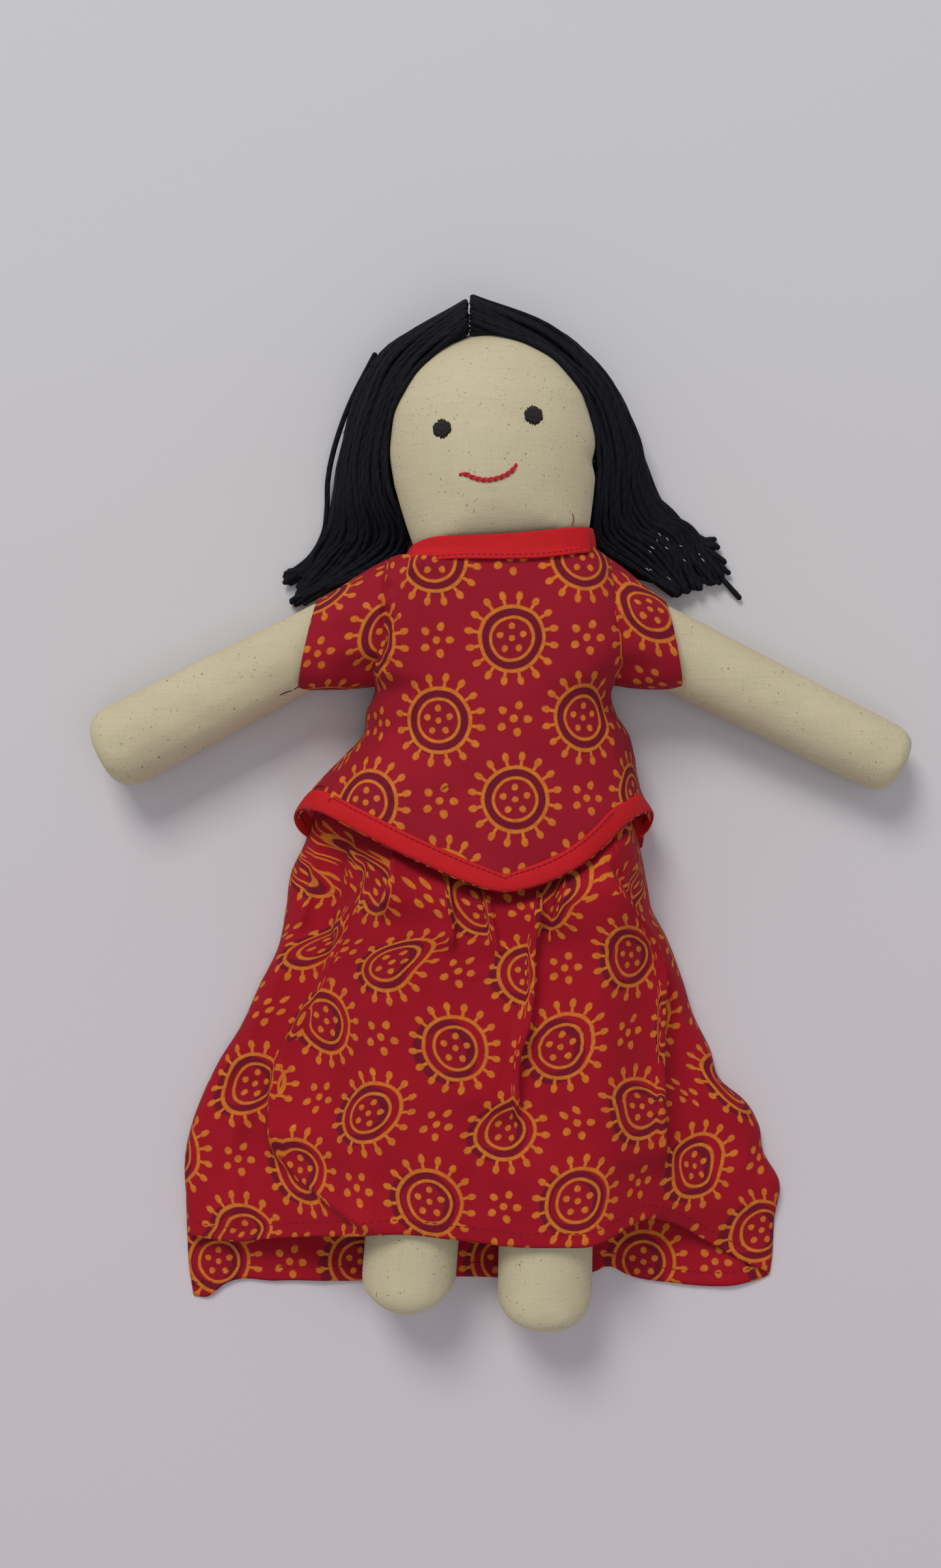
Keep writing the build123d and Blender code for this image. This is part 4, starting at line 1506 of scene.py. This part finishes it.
        def tape(u: Array, v: Array) -> Array:
            """Across the tape by v, along it by u."""
            at = np.linspace(0, 1, count)
            out = np.zeros((len(u), 3))
            rows = v * (len(keys) - 1)
            for k in range(3):
                table = np.stack([np.interp(u, at, key[:, k]) for key in keys], axis=1)
                low = np.clip(np.floor(rows).astype(int), 0, len(keys) - 2)
                w = rows - low
                out[:, k] = table[np.arange(len(u)), low] * (1 - w) + table[np.arange(len(u)), low + 1] * w
            return out

        piece = Cloth("front_hem_tape", count, 18, tape, thickness=0.6).build()
        apply_modifier(piece, "SMOOTH", factor=0.5, iterations=3)
        fit(piece, materials.tape, "bias_tape", "torso", "front_hem_binding")
        stitches = StrandSet("hem_stitches", radius=0.2, sides=5)
        row = self._hem_line(tree_of(piece), self.tape_width - 1.3, 0.05, 1.5)
        stitches.stitch(even_line(row, 0.5), 4, (-0.12, 0.08, 0.08, -0.12), 4)
        fit(stitches.build(), materials.thread, "sewing_thread", "torso", "front_hem_topstitching")
        self._back_binding(materials)

    def _back_binding(self, materials: Materials) -> None:
        """The tape along the back hem, curling up at both sides to meet the front."""
        def tape(u: Array, v: Array) -> Array:
            """Along the hem by u, round the tape by v."""
            left, right = self.back_tape
            x = left + (right - left) * u
            end = np.exp(-((x - left) / 5.0) ** 2) + np.exp(-((right - x) / 5.0) ** 2)
            roll = np.sin(v * math.pi)
            y = self.back_hem + self.tape_width * (1 - v) - 0.6 + end * 1.6
            z = 1.0 + roll * 0.9 + end * 1.2
            return np.stack([x, y, z], axis=1)

        piece = Cloth("back_hem_tape", 160, 10, tape, thickness=0.6).build()
        fit(piece, materials.tape, "bias_tape", "torso", "back_hem_binding")

    def _studs(self, materials: Materials) -> None:
        """The two press studs of the back opening: a rim, a small step down and a raised dome."""
        low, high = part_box("back_press_studs")
        radius = (high[0] - low[0]) / 2
        parts = []
        for y in (low[1] + radius, high[1] - radius):
            deselect()
            bpy.ops.mesh.primitive_cylinder_add(vertices=48, radius=radius, depth=0.0006,
                                                location=((low[0] + high[0]) / 2, y, low[2] + 0.0003))
            stud = bpy.context.object
            bpy.ops.object.mode_set(mode="EDIT")
            bpy.ops.mesh.select_mode(type="FACE")
            bpy.ops.mesh.select_all(action="DESELECT")
            mesh = bmesh.from_edit_mesh(stud.data)
            for face in mesh.faces:
                face.select = face.normal.z > 0.9
            bmesh.update_edit_mesh(stud.data)
            bpy.ops.mesh.inset(thickness=0.0009, depth=0.0)
            bpy.ops.mesh.inset(thickness=0.0003, depth=-0.0002)
            bpy.ops.mesh.inset(thickness=0.0006, depth=0.0009)
            bpy.ops.object.mode_set(mode="OBJECT")
            bpy.ops.object.transform_apply(location=True, rotation=True, scale=True)
            parts.append(stud)
        deselect()
        for stud in parts:
            stud.select_set(True)
        bpy.context.view_layer.objects.active = parts[0]
        bpy.ops.object.join()
        piece = named("press_stud_pair")
        apply_modifier(piece, "BEVEL", width=0.0001, segments=2)
        dress(piece, materials.nickel, "press_stud", smooth=False)
        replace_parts(piece, "back_press_studs")
        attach(piece, "torso")


@dataclass
class Sleeve:
    """A short sleeve: a tube of printed cloth, bunched where it is sewn to the armhole."""

    half: Half
    hole: tuple                      # middle of the armhole, mm
    cuff: tuple                      # middle of the cuff
    hole_size: tuple                 # half its length along the body, half its height
    cuff_size: tuple
    facing: float                    # degrees that the cuff's opening turns from straight out
    flat_shift: tuple                # of the print: added across, and place along of the top, mm
    blouse: Blouse

    def surface(self, u: Array, v: Array) -> Array:
        """Round the sleeve by u, starting at the back, from the armhole to the cuff by v."""
        side = self.half.value
        angle = (u - 0.25) * TAU
        a, b = np.array(self.hole), np.array(self.cuff)
        turn = math.radians(self.facing) * v
        puff = np.sin(np.clip(v, 0, 1) * math.pi) * 0.8
        ry = self.hole_size[0] + (self.cuff_size[0] - self.hole_size[0]) * v**0.9 + puff
        rz = self.hole_size[1] + (self.cuff_size[1] - self.hole_size[1]) * v + puff
        crease = (1 - v) ** 1.5 * 0.8 * np.sin(angle * 9.0 + 1.0 + 3.0 * v)
        crease = crease + 0.5 * np.sin(angle * 4.0 + v * 5.0)
        ry, rz = ry + crease, rz + crease + 0.5 * Wobble(51, 16.0)(v * 30.0, angle * 18.0)
        centre = a + (b - a) * v[:, None]
        along = np.cos(angle) * ry
        x = centre[:, 0] + side * np.sin(turn) * along
        y = centre[:, 1] + np.cos(turn) * along
        z = centre[:, 2] + np.sin(angle) * rz
        under = self.blouse.crown(x, y) - 1.6
        z = z - np.maximum(z - under, 0.0) * (1.0 - ease(v, 0.05, 0.16)) * (under > 20.0)
        return np.stack([x, y, np.maximum(z, 0.8)], axis=1)

    def build(self, materials: Materials) -> None:
        """Make the sleeve, which starts under the blouse's edge."""
        word = self.half.word
        piece = Cloth(f"{word}_sleeve_cloth", 110, 40, self.surface, thickness=0.6, wrap=True,
                      shift=self.flat_shift).build()
        dress(piece, materials.blouse, "blouse_print")
        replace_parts(piece, f"{word}_sleeve")
        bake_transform(piece)


@dataclass
class Collar:
    """The band of bias tape round the neck."""

    low: tuple = ((-20, 75.2), (-17, 75.2), (-5, 76), (10, 76), (24, 76.4), (41, 78.9))
    high: tuple = ((-21.5, 79.4), (-20, 80.9), (-16.6, 82.7), (-11.7, 83.8), (-5, 84.1), (13, 84.8),
                   (41, 87.8))
    centre: tuple = (11.0, 25.6)     # across the doll and above the table
    half_width: float = 31.0
    half_depth: float = 18.4

    def build(self, blouse: Blouse, materials: Materials) -> None:
        """Make the band and its stitching.

        Args:
            blouse: the blouse that the band is sewn on.
            materials: the doll's finishes.
        """
        def band(u: Array, v: Array) -> Array:
            """Round the neck by u, starting at the back, from the head side to the chest side by v."""
            angle = (u - 0.25) * TAU
            cos, sin = np.cos(angle), np.sin(angle)
            swell = np.sin(v * math.pi)
            width = self.half_width + 0.9 * v + 0.4 * swell + 1.6 * ease(-cos, 0.2, 0.9)
            depth = self.half_depth + 0.5 * v + 0.5 * swell
            x = self.centre[0] + width * np.sign(cos) * np.abs(cos) ** 0.9
            z = self.centre[1] + depth * np.sign(sin) * np.abs(sin) ** 0.66
            low, high = through(*zip(*self.low), x), through(*zip(*self.high), x)
            y = low + (high - low) * (1 - v)
            cloth = blouse.crown(x, np.minimum(y, 80.0)) + 0.9
            z = np.where(sin > 0.2, np.maximum(z, cloth * ease(sin, 0.2, 0.42)), z)
            join = np.exp(-((x - 12.0 + 3.0 * v) / 0.6) ** 2) * (sin > 0.25)
            z = z - 0.45 * join
            return np.stack([x, y, np.maximum(z, 1.6)], axis=1)

        piece = Cloth("collar_tape", 160, 12, band, thickness=0.7, wrap=True).build()
        fit(piece, materials.tape, "bias_tape", "torso", "collar_band")
        tree = tree_of(piece)
        x = np.linspace(-17.5, 40.0, 120)
        line = lie_on(tree, x, through(*zip(*self.low), x) + 1.5)
        stitches = StrandSet("collar_stitches", radius=0.2, sides=5)
        stitches.stitch(even_line(line, 0.5), 4, (-0.1, 0.1, -0.1), 4)
        fit(stitches.build(), materials.thread, "sewing_thread", "torso", "collar_topstitching")


# ---- Skirt ----
@dataclass
class Skirt:
    """The long gathered skirt, lying over the legs."""

    left: tuple = ((-184, -100), (-175, -101.5), (-163, -102.2), (-150, -102.6), (-134.5, -103),
                   (-123.5, -100.8), (-110.6, -96), (-99.3, -90.4), (-87.9, -83.2), (-72.2, -76),
                   (-59.4, -69.6), (-45.2, -66.6), (-31, -64.4), (-22, -60), (-14, -57), (-4, -52))
    right: tuple = ((-184, 106.5), (-172, 108.6), (-157, 109.6), (-142.6, 111.2), (-133, 105.8),
                    (-121.8, 103.6), (-114, 98.8), (-107.6, 91), (-95, 86.2), (-83.8, 80.6),
                    (-71, 76.6), (-54.2, 70.2), (-44.2, 65), (-37, 63.6), (-22, 60.5),
                    (-14, 58), (-4, 54))
    front_hem: tuple = ((-104, -161), (-84, -163), (-69, -161), (-50, -157.5), (-30, -154.4),
                        (-19, -154.8), (-5.3, -156.6), (8.3, -158.6), (28.7, -159), (42.5, -158.4),
                        (51, -155.4), (60.5, -152.6), (72, -156), (84, -163.5), (96, -170.5),
                        (108, -176))
    back_hem: tuple = ((-106, -184), (-99.8, -184.6), (-94.6, -184.8), (-89, -180.4), (-70, -179),
                       (-40, -179), (-5.6, -177.6), (44.4, -175.8), (50.2, -173.8), (56, -176.6),
                       (73.2, -179.8), (97.6, -180.2), (107, -177.4), (112, -174))
    # where the front turns down to the table
    knee: tuple = ((-104, -190), (20, -190), (52, -175), (62, -153.5), (76, -149),
                   (92, -146.5), (104, -141.5), (112, -139))
    waist_y: float = -5.0
    middle: float = 22.0             # folds on either side of it hide cloth away from it
    turned_hem: float = 5.0
    hips: tuple = (-22.0, 42.0)      # across the doll, where the skirt starts to fall
    leg_top: float = 12.0            # half the width over which it lies on a leg
    edge_height: float = 5.0         # of its sides above the table
    columns: int = 190
    rows: int = 140

    def folds(self) -> tuple:
        """The folds of the front, the largest first."""
        return (Fold(((22.5, -36), (19.5, -58), (19.3, -70), (18, -81.5), (15.2, -92),
                      (14.4, -104), (14.8, -113)), 5, 12, 1.5, 1, 2.2, 12, 9),
                Fold(((13.6, -82), (11.5, -94), (9, -106), (7.2, -119)),
                     2.2, 6, 1.8, -1, 0.6, 12),
                Fold(((46.5, -30), (51.5, -39), (60, -50), (65.2, -62), (65.4, -78),
                      (65, -99), (65.6, -118), (66, -134)), 7, 13, 2, 1, 2.6, 14, -5),
                Fold(((50, -34), (63.5, -58), (65.4, -80), (65, -102)),
                     0, 10, 2, 1, 0, 12, 16),
                Fold(((-35, -36), (-42, -48.5), (-47, -62), (-58, -82), (-65.5, -97),
                      (-68.6, -114), (-66.5, -130)), 5.6, 14, 2.6, -1, 2, 14, -5),
                Fold(((-36, -30), (-46, -58), (-56, -78)), 0, 10, 2.6, -1, 0, 10, 13),
                Fold(((-67.5, -118), (-66, -131), (-59.5, -137.5), (-44.5, -147), (-31, -154)),
                     3.2, 9, 3.4, -1, 1, 7),
                Fold(((-60, -40), (-64, -60), (-74, -82), (-86, -106)),
                     2, 8, 4, -1, 0.4),
                Fold(((-80, -112), (-86, -128), (-84, -146), (-88, -160)),
                     2.2, 8, 5, 1, 0.3),
                Fold(((86, -104), (93, -116), (97, -128), (96, -142)),
                     2.6, 9, 6, 1, 0.4),
                Fold(((68, -50), (72, -70), (77, -92)), 2.2, 4, 3, -1, 0.4),
                Fold(((-24.5, -20), (-25.5, -32), (-29, -44)), 5.4, 7, 1.5, -1, 1.8, 10, 4),
                Fold(((-10.5, -20), (-8.5, -36), (-7, -56)), 3.8, 7, 1.6, 1, 1.2, 9, 7),
                Fold(((4, -20), (4.5, -38), (8, -58)), 3, 6, 1.6, 1, 0.8, 9, 10),
                Fold(((34, -20), (32, -32), (27, -52)), 3.6, 7, 1.6, -1, 1.2, 12, 4),
                Fold(((50, -18), (53, -30), (58, -44)), 3.2, 4, 1.8, -1, 1, 8, 3),
                Fold(((-40, -20), (-42, -34), (-47, -54)), 3.4, 6, 2, -1, 1.2, 9, 4),
                Fold(((-53, -20), (-55, -34), (-59, -50)), 2.8, 4, 2.4, -1, 0.8, 8))

    def leg_band(self, y: Array) -> tuple:
        """The outer sides of the hips, and below them of the two legs, under the skirt."""
        down = ease(-y, 40.0, 80.0)
        right_leg = np.interp(-y, (62.0, 184.0), (-12.4, -22.7))
        left_leg = np.interp(-y, (62.0, 190.0), (28.6, 25.5))
        low = self.hips[0] + (right_leg - self.leg_top - self.hips[0]) * down
        high = self.hips[1] + (left_leg + self.leg_top - self.hips[1]) * down
        return low, high

    def drape(self, x: Array, y: Array) -> Array:
        """The height of the cloth without its folds."""
        low, high = self.leg_band(y)
        top = through((-190.0, -158.0, -110.0, -66.0, -40.0, -15.0), (34.6, 36.2, 37.0, 39.0, 41.8, 42.5), y)
        beyond = np.maximum(low - x, 0.0) + np.maximum(x - high, 0.0)
        gap, span = (low + high) / 2, (high - low) / 2
        dip = 2.6 * ease(-y, 80.0, 140.0) * np.exp(-((x - gap) / (span * 0.28)) ** 2)
        reach = 20.0 + 4.0 * ease(-y, 60.0, 150.0)
        fall = 1.0 / (1.0 + (beyond / reach) ** 2.4)
        return self.edge_height + (top - dip - self.edge_height) * fall

    def front(self, u: Array, v: Array) -> Array:
        """The front's surface for grid places from 0 to 1."""
        s = u * 2.0 - 1.0
        s = 0.72 * s + 0.28 * np.sin(s * math.pi / 2)
        y = self.waist_y + (-158.0 - self.waist_y) * v
        for _ in range(4):
            left, right = through(*zip(*self.left), y), through(*zip(*self.right), y)
            x = (left + right) / 2 + (right - left) / 2 * s
            hem = through(*zip(*self.front_hem), x)
            y = self.waist_y + (hem - self.waist_y) * v
        z = self.drape(x, y)
        past = np.clip(through(*zip(*self.knee), x) - y, 0.0, 40.0)
        z = z * (1.0 - ease(past, -1.5, 24.0)) + 3.4 * ease(past, -1.5, 24.0)
        shift, rise = folded(self.folds(), x, y)
        covered = ease(y - through(*zip(*Blouse.hem), x), -7.0, 3.0)
        z = z - covered * np.clip(z * 0.12, 0.0, 4.0)
        rise = rise * (1.0 - 0.8 * covered)
        wave = Wobble(21, 60.0)(x, y) * 1.0 + Wobble(22, 22.0)(x, y) * 0.25
        edge = np.minimum(x - left, right - x)
        round_ = np.sqrt(np.clip(1.0 - (1.0 - np.clip(edge / 5.5, 0, 1)) ** 2, 0, 1))
        z = 1.0 + (z + (rise + wave) * (1.0 - ease(past, 0.0, 10.0) * 0.7) - 1.0) * round_
        inside = ease(edge, 0.0, 10.0)
        return np.stack([x + shift * inside, y, np.maximum(z, 1.0)], axis=1)

    def back(self, u: Array, v: Array) -> Array:
        """The back's surface, spread on the table."""
        y = self.waist_y + (-178.0 - self.waist_y) * v
        for _ in range(4):
            left, right = through(*zip(*self.left), y), through(*zip(*self.right), y)
            x = left + (right - left) * u
            hem = through(*zip(*self.back_hem), x)
            y = self.waist_y + (hem - self.waist_y) * v
        legs = np.exp(-((x + 20.0) / 16.0) ** 2) + np.exp(-((x - 26.0) / 16.0) ** 2)
        wave = (Wobble(31, 40.0)(x, y) * 0.5 + 0.5) * 2.2
        wave = wave * (1.0 - np.clip(legs, 0, 1)) * ease(-y, 60.0, 150.0)
        step = 1.15 * (1.0 - ease(-y, 25.0, 29.0))
        edge = np.minimum(x - left, right - x)
        z = 0.75 + step + wave * ease(edge, 0.0, 14.0)
        return np.stack([x, y, z], axis=1)

    @staticmethod
    def sag(x: Array, y: Array) -> Array:
        """The grain fans out from the waist, so that rows of the print rise towards both sides, mm."""
        fan = -13.0 * (1.0 - np.exp(-((x - 10.0) / 62.0) ** 2))
        return fan + 5.0 * np.exp(-((y + 40.0) / 16.0) ** 2 - ((x - 5.0) / 34.0) ** 2)

    def build(self, materials: Materials) -> None:
        """Make the skirt."""
        front = Cloth("skirt_front_cloth", self.columns, self.rows, self.front, sags=self.sag,
                      tucks=lambda x, y: sum(f.hidden(x, y, self.middle) for f in self.folds())).build()
        dress(front, materials.skirt, "skirt_print")
        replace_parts(front, "skirt_front")
        tree = tree_of(front)
        back = Cloth("skirt_back_cloth", 130, 120, self.back, thickness=0.5).build()
        dress(back, materials.skirt, "skirt_print")
        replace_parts(back, "skirt_back")
        stitches = self._hem_stitches(tree, tree_of(back), materials)
        for piece in (front, back):
            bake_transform(piece)
        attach(stitches, "hips")

    def _hem_stitches(self, front: BVHTree, back: BVHTree, materials: Materials) -> Piece:
        """Running stitches of both turned hems."""
        stitches = StrandSet("skirt_hem_stitches", radius=0.19, sides=5)
        for tree, hem in ((front, self.front_hem), (back, self.back_hem)):
            x = np.linspace(hem[0][0] + 6.0, hem[-1][0] - 6.0, 400)
            y = through(*zip(*hem), x) + self.turned_hem
            line = lie_on(tree, x, y)
            stitches.stitch(even_line(line, 0.55), 5, (-0.15, 0.07, 0.07, -0.15), 5)
        piece = stitches.build()
        dress(piece, materials.thread, "sewing_thread")
        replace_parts(piece, "skirt_hem_stitching")
        return piece


# ---- Loose threads ----
@dataclass(frozen=True)
class LooseThread:
    """Ends and stitches of thread that show on the finished doll."""

    name: str
    body: str
    on: str                          # the piece that they lie on
    radius: float
    lines: tuple                     # of each: points (x, y, rise above that piece), mm
    slot: str = "sewing_thread"

    def build(self, material: Material) -> None:
        """Lay the threads on the piece below them."""
        tree = tree_of(bpy.data.objects[self.on])
        threads = StrandSet(self.name, radius=self.radius, sides=5)
        for line in self.lines:
            track = smooth_line(line, 5 * len(line))
            threads.add([(x, y, z + (top_of(tree, x, y) or 0.0)) for x, y, z in track])
        piece = threads.build()
        dress(piece, material, self.slot)
        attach(piece, self.body)


def caught_fibres() -> tuple:
    """Lines of the bits of stuffing caught in the ends of the hair."""
    draw = random.Random(8)
    bits = []
    for _ in range(13):
        x, y, turn = draw.uniform(62.0, 84.0), draw.uniform(72.0, 90.0), draw.uniform(-0.9, -0.3)
        size = draw.uniform(0.6, 1.5)
        dx, dy = size * math.cos(turn), size * math.sin(turn)
        bits.append(((x, y, 0.1), (x + dx / 2, y + dy / 2, 0.3), (x + dx, y + dy, 0.1)))
    return tuple(bits)


def sew_loose_threads(materials: Materials) -> None:
    """The arm's closing stitches, the thread ends, and the stuffing caught in the hair."""
    blouse = "blouse_front_cloth"
    LooseThread("arm_closing_stitches", "right_arm", "right_arm_tube", 0.20,
                (((-66.5, 31, 0), (-64.5, 31.9, 0.3), (-62.4, 32.6, 0)),
                 ((-61.6, 33, 0), (-59.6, 34.2, 0.3), (-57.8, 34.8, 0)),
                 ((-57, 35.2, 0), (-55.6, 36, 0.3), (-54.2, 36.6, 0)))).build(materials.dark_thread)
    LooseThread("side_thread_end", "torso", blouse, 0.17,
                (((54, 3.6, 0.6), (57.6, 6.2, 3), (57, 10.4, 3.4), (53.6, 12.8, 0.6)),)
                ).build(materials.thread)
    LooseThread("hem_thread_end", "torso", blouse, 0.16,
                (((-55, -2.4, 0.3), (-53.2, -0.8, 0.8), (-50.8, -0.9, 0.3)),)).build(materials.dark_thread)
    LooseThread("front_thread_end", "torso", blouse, 0.14,
                (((-9.6, -1.8, 0.2), (-8.4, -0.9, 0.4), (-7.2, -0.6, 0.2)),)).build(materials.dark_thread)
    LooseThread("collar_thread_end", "head", "head_cover", 0.14,
                (((34.6, 88, 0.2), (35.2, 90, 0.5), (34.7, 92, 0.2)),)).build(materials.thread)
    LooseThread("armhole_fray", "torso", blouse, 0.11,
                (((-29.5, 66, 0.2), (-27.8, 62, 0.9), (-29.2, 58.4, 0.3)),
                 ((-25.6, 59.6, 0.2), (-24.6, 54.6, 0.8), (-27.2, 50.8, 0.2)),
                 ((-30.4, 58, 0.3), (-28, 57, 0.9), (-25.8, 57.2, 0.2)))).build(materials.red_floss)
    LooseThread("caught_fibres", "torso", "hair_left_strands", 0.10, caught_fibres(),
                "stuffing").build(materials.fibrefill)


# ---- The setting ----
@dataclass
class Setting:
    """The floor, the soft lights and the camera straight above."""

    height: float = 0.70             # of the camera above the floor
    frame_height: float = 0.5664     # what the view's long side takes in on the floor

    def build(self) -> None:
        """Make the setting."""
        deselect()
        bpy.ops.mesh.primitive_plane_add(size=80.0, location=(0, 0, -0.0001))
        floor = named("floor")
        floor.data.materials.append(Floor().make())
        self._light("window", (-0.9, 2.2, 2.4), 1.25, 61.0, (1.0, 0.985, 0.96))
        self._light("ceiling", (0.4, -0.5, 2.2), 1.8, 7.5, (0.99, 0.98, 1.0))
        world = bpy.data.worlds.new("room")
        world.use_nodes = True
        background = world.node_tree.nodes["Background"]
        background.inputs[0].default_value = (0.93, 0.93, 1.0, 1.0)
        background.inputs[1].default_value = 0.38
        bpy.context.scene.world = world
        bpy.context.scene.view_settings.view_transform = "Standard"
        bpy.context.scene.view_settings.look = "None"
        self._camera()

    @staticmethod
    def _light(name: str, place: Point, size: float, power: float, colour: Point) -> None:
        """A square soft light that looks at the doll."""
        bpy.ops.object.light_add(type="AREA", location=place)
        light = bpy.context.object
        light.name = name
        light.data.size = size
        light.data.energy = power
        light.data.color = colour
        light.rotation_euler = (Vector((0, 0, 0)) - Vector(place)).to_track_quat("-Z", "Y").to_euler()

    def _camera(self) -> None:
        """The camera, looking straight down with the doll's head at the top of the view."""
        bpy.ops.object.camera_add(location=(0, 0, self.height), rotation=(0, 0, 0))
        camera = bpy.context.object
        camera.name = "overhead_camera"
        camera.data.sensor_fit = "VERTICAL"
        camera.data.sensor_height = 36.0
        camera.data.lens = 36.0 * self.height / self.frame_height
        bpy.context.scene.camera = camera


# ---- The whole doll ----
def finish_cad_nodes(materials: Materials) -> None:
    """Give the hidden pieces that stay as they are their materials."""
    finishes = {"waist_casing": materials.casing, "waist_elastic": materials.elastic}
    for name, material in finishes.items():
        node = frame["nodes"][name]
        node.data.materials.clear()
        node.data.materials.append(material)
        LOG.info("%s kept from the model", name)


def main() -> None:
    """Build the doll and its setting."""
    logging.basicConfig(level=logging.INFO, format="%(name)s %(message)s")
    materials = Materials()
    Setting().build()
    Torso().build(materials)
    Hair().build(Head().build(materials), materials)
    for limb in (Limb("left_arm", "left_shoulder_lift", (152.9, 6.4, 12.4), 14.0, 12.6, 6.0),
                 Limb("right_arm", "right_shoulder_lift", (-130.8, 9.4, 15.2), 13.5, 15.3, 9.0),
                 Limb("left_leg", "left_hip_spread", (25.8, -191.0, 17.4), 16.5, 17.0, 9.0,
                      flats=((51.0, 7.2), (22.7, 1.4), (-22.0, 1.9), (-57.0, 8.7))),
                 Limb("right_leg", "right_hip_spread", (-22.7, -185.0, 17.4), 16.5, 16.9, 9.0,
                      flats=((39.0, 4.2), (29.0, 2.2), (-26.6, 0.9), (-45.0, 4.4)))):
        limb.build(materials)
    blouse = Blouse()
    blouse.build(materials)
    Collar().build(blouse, materials)
    for sleeve in (Sleeve(Half.RIGHT, (-26.5, 57.3, 20.5), (-56.7, 48.9, 17.6), (21.6, 19.2), (16.9, 16.6),
                          -12.5, (-9.7, 53.4), blouse),
                   Sleeve(Half.LEFT, (47.0, 57.3, 20.5), (70.6, 49.2, 17.3), (21.2, 18.8), (16.2, 16.4),
                          -12.5, (3.4, 42.3), blouse)):
        sleeve.build(materials)
    Skirt().build(materials)
    sew_loose_threads(materials)
    finish_cad_nodes(materials)


if __name__ == "__main__":
    main()
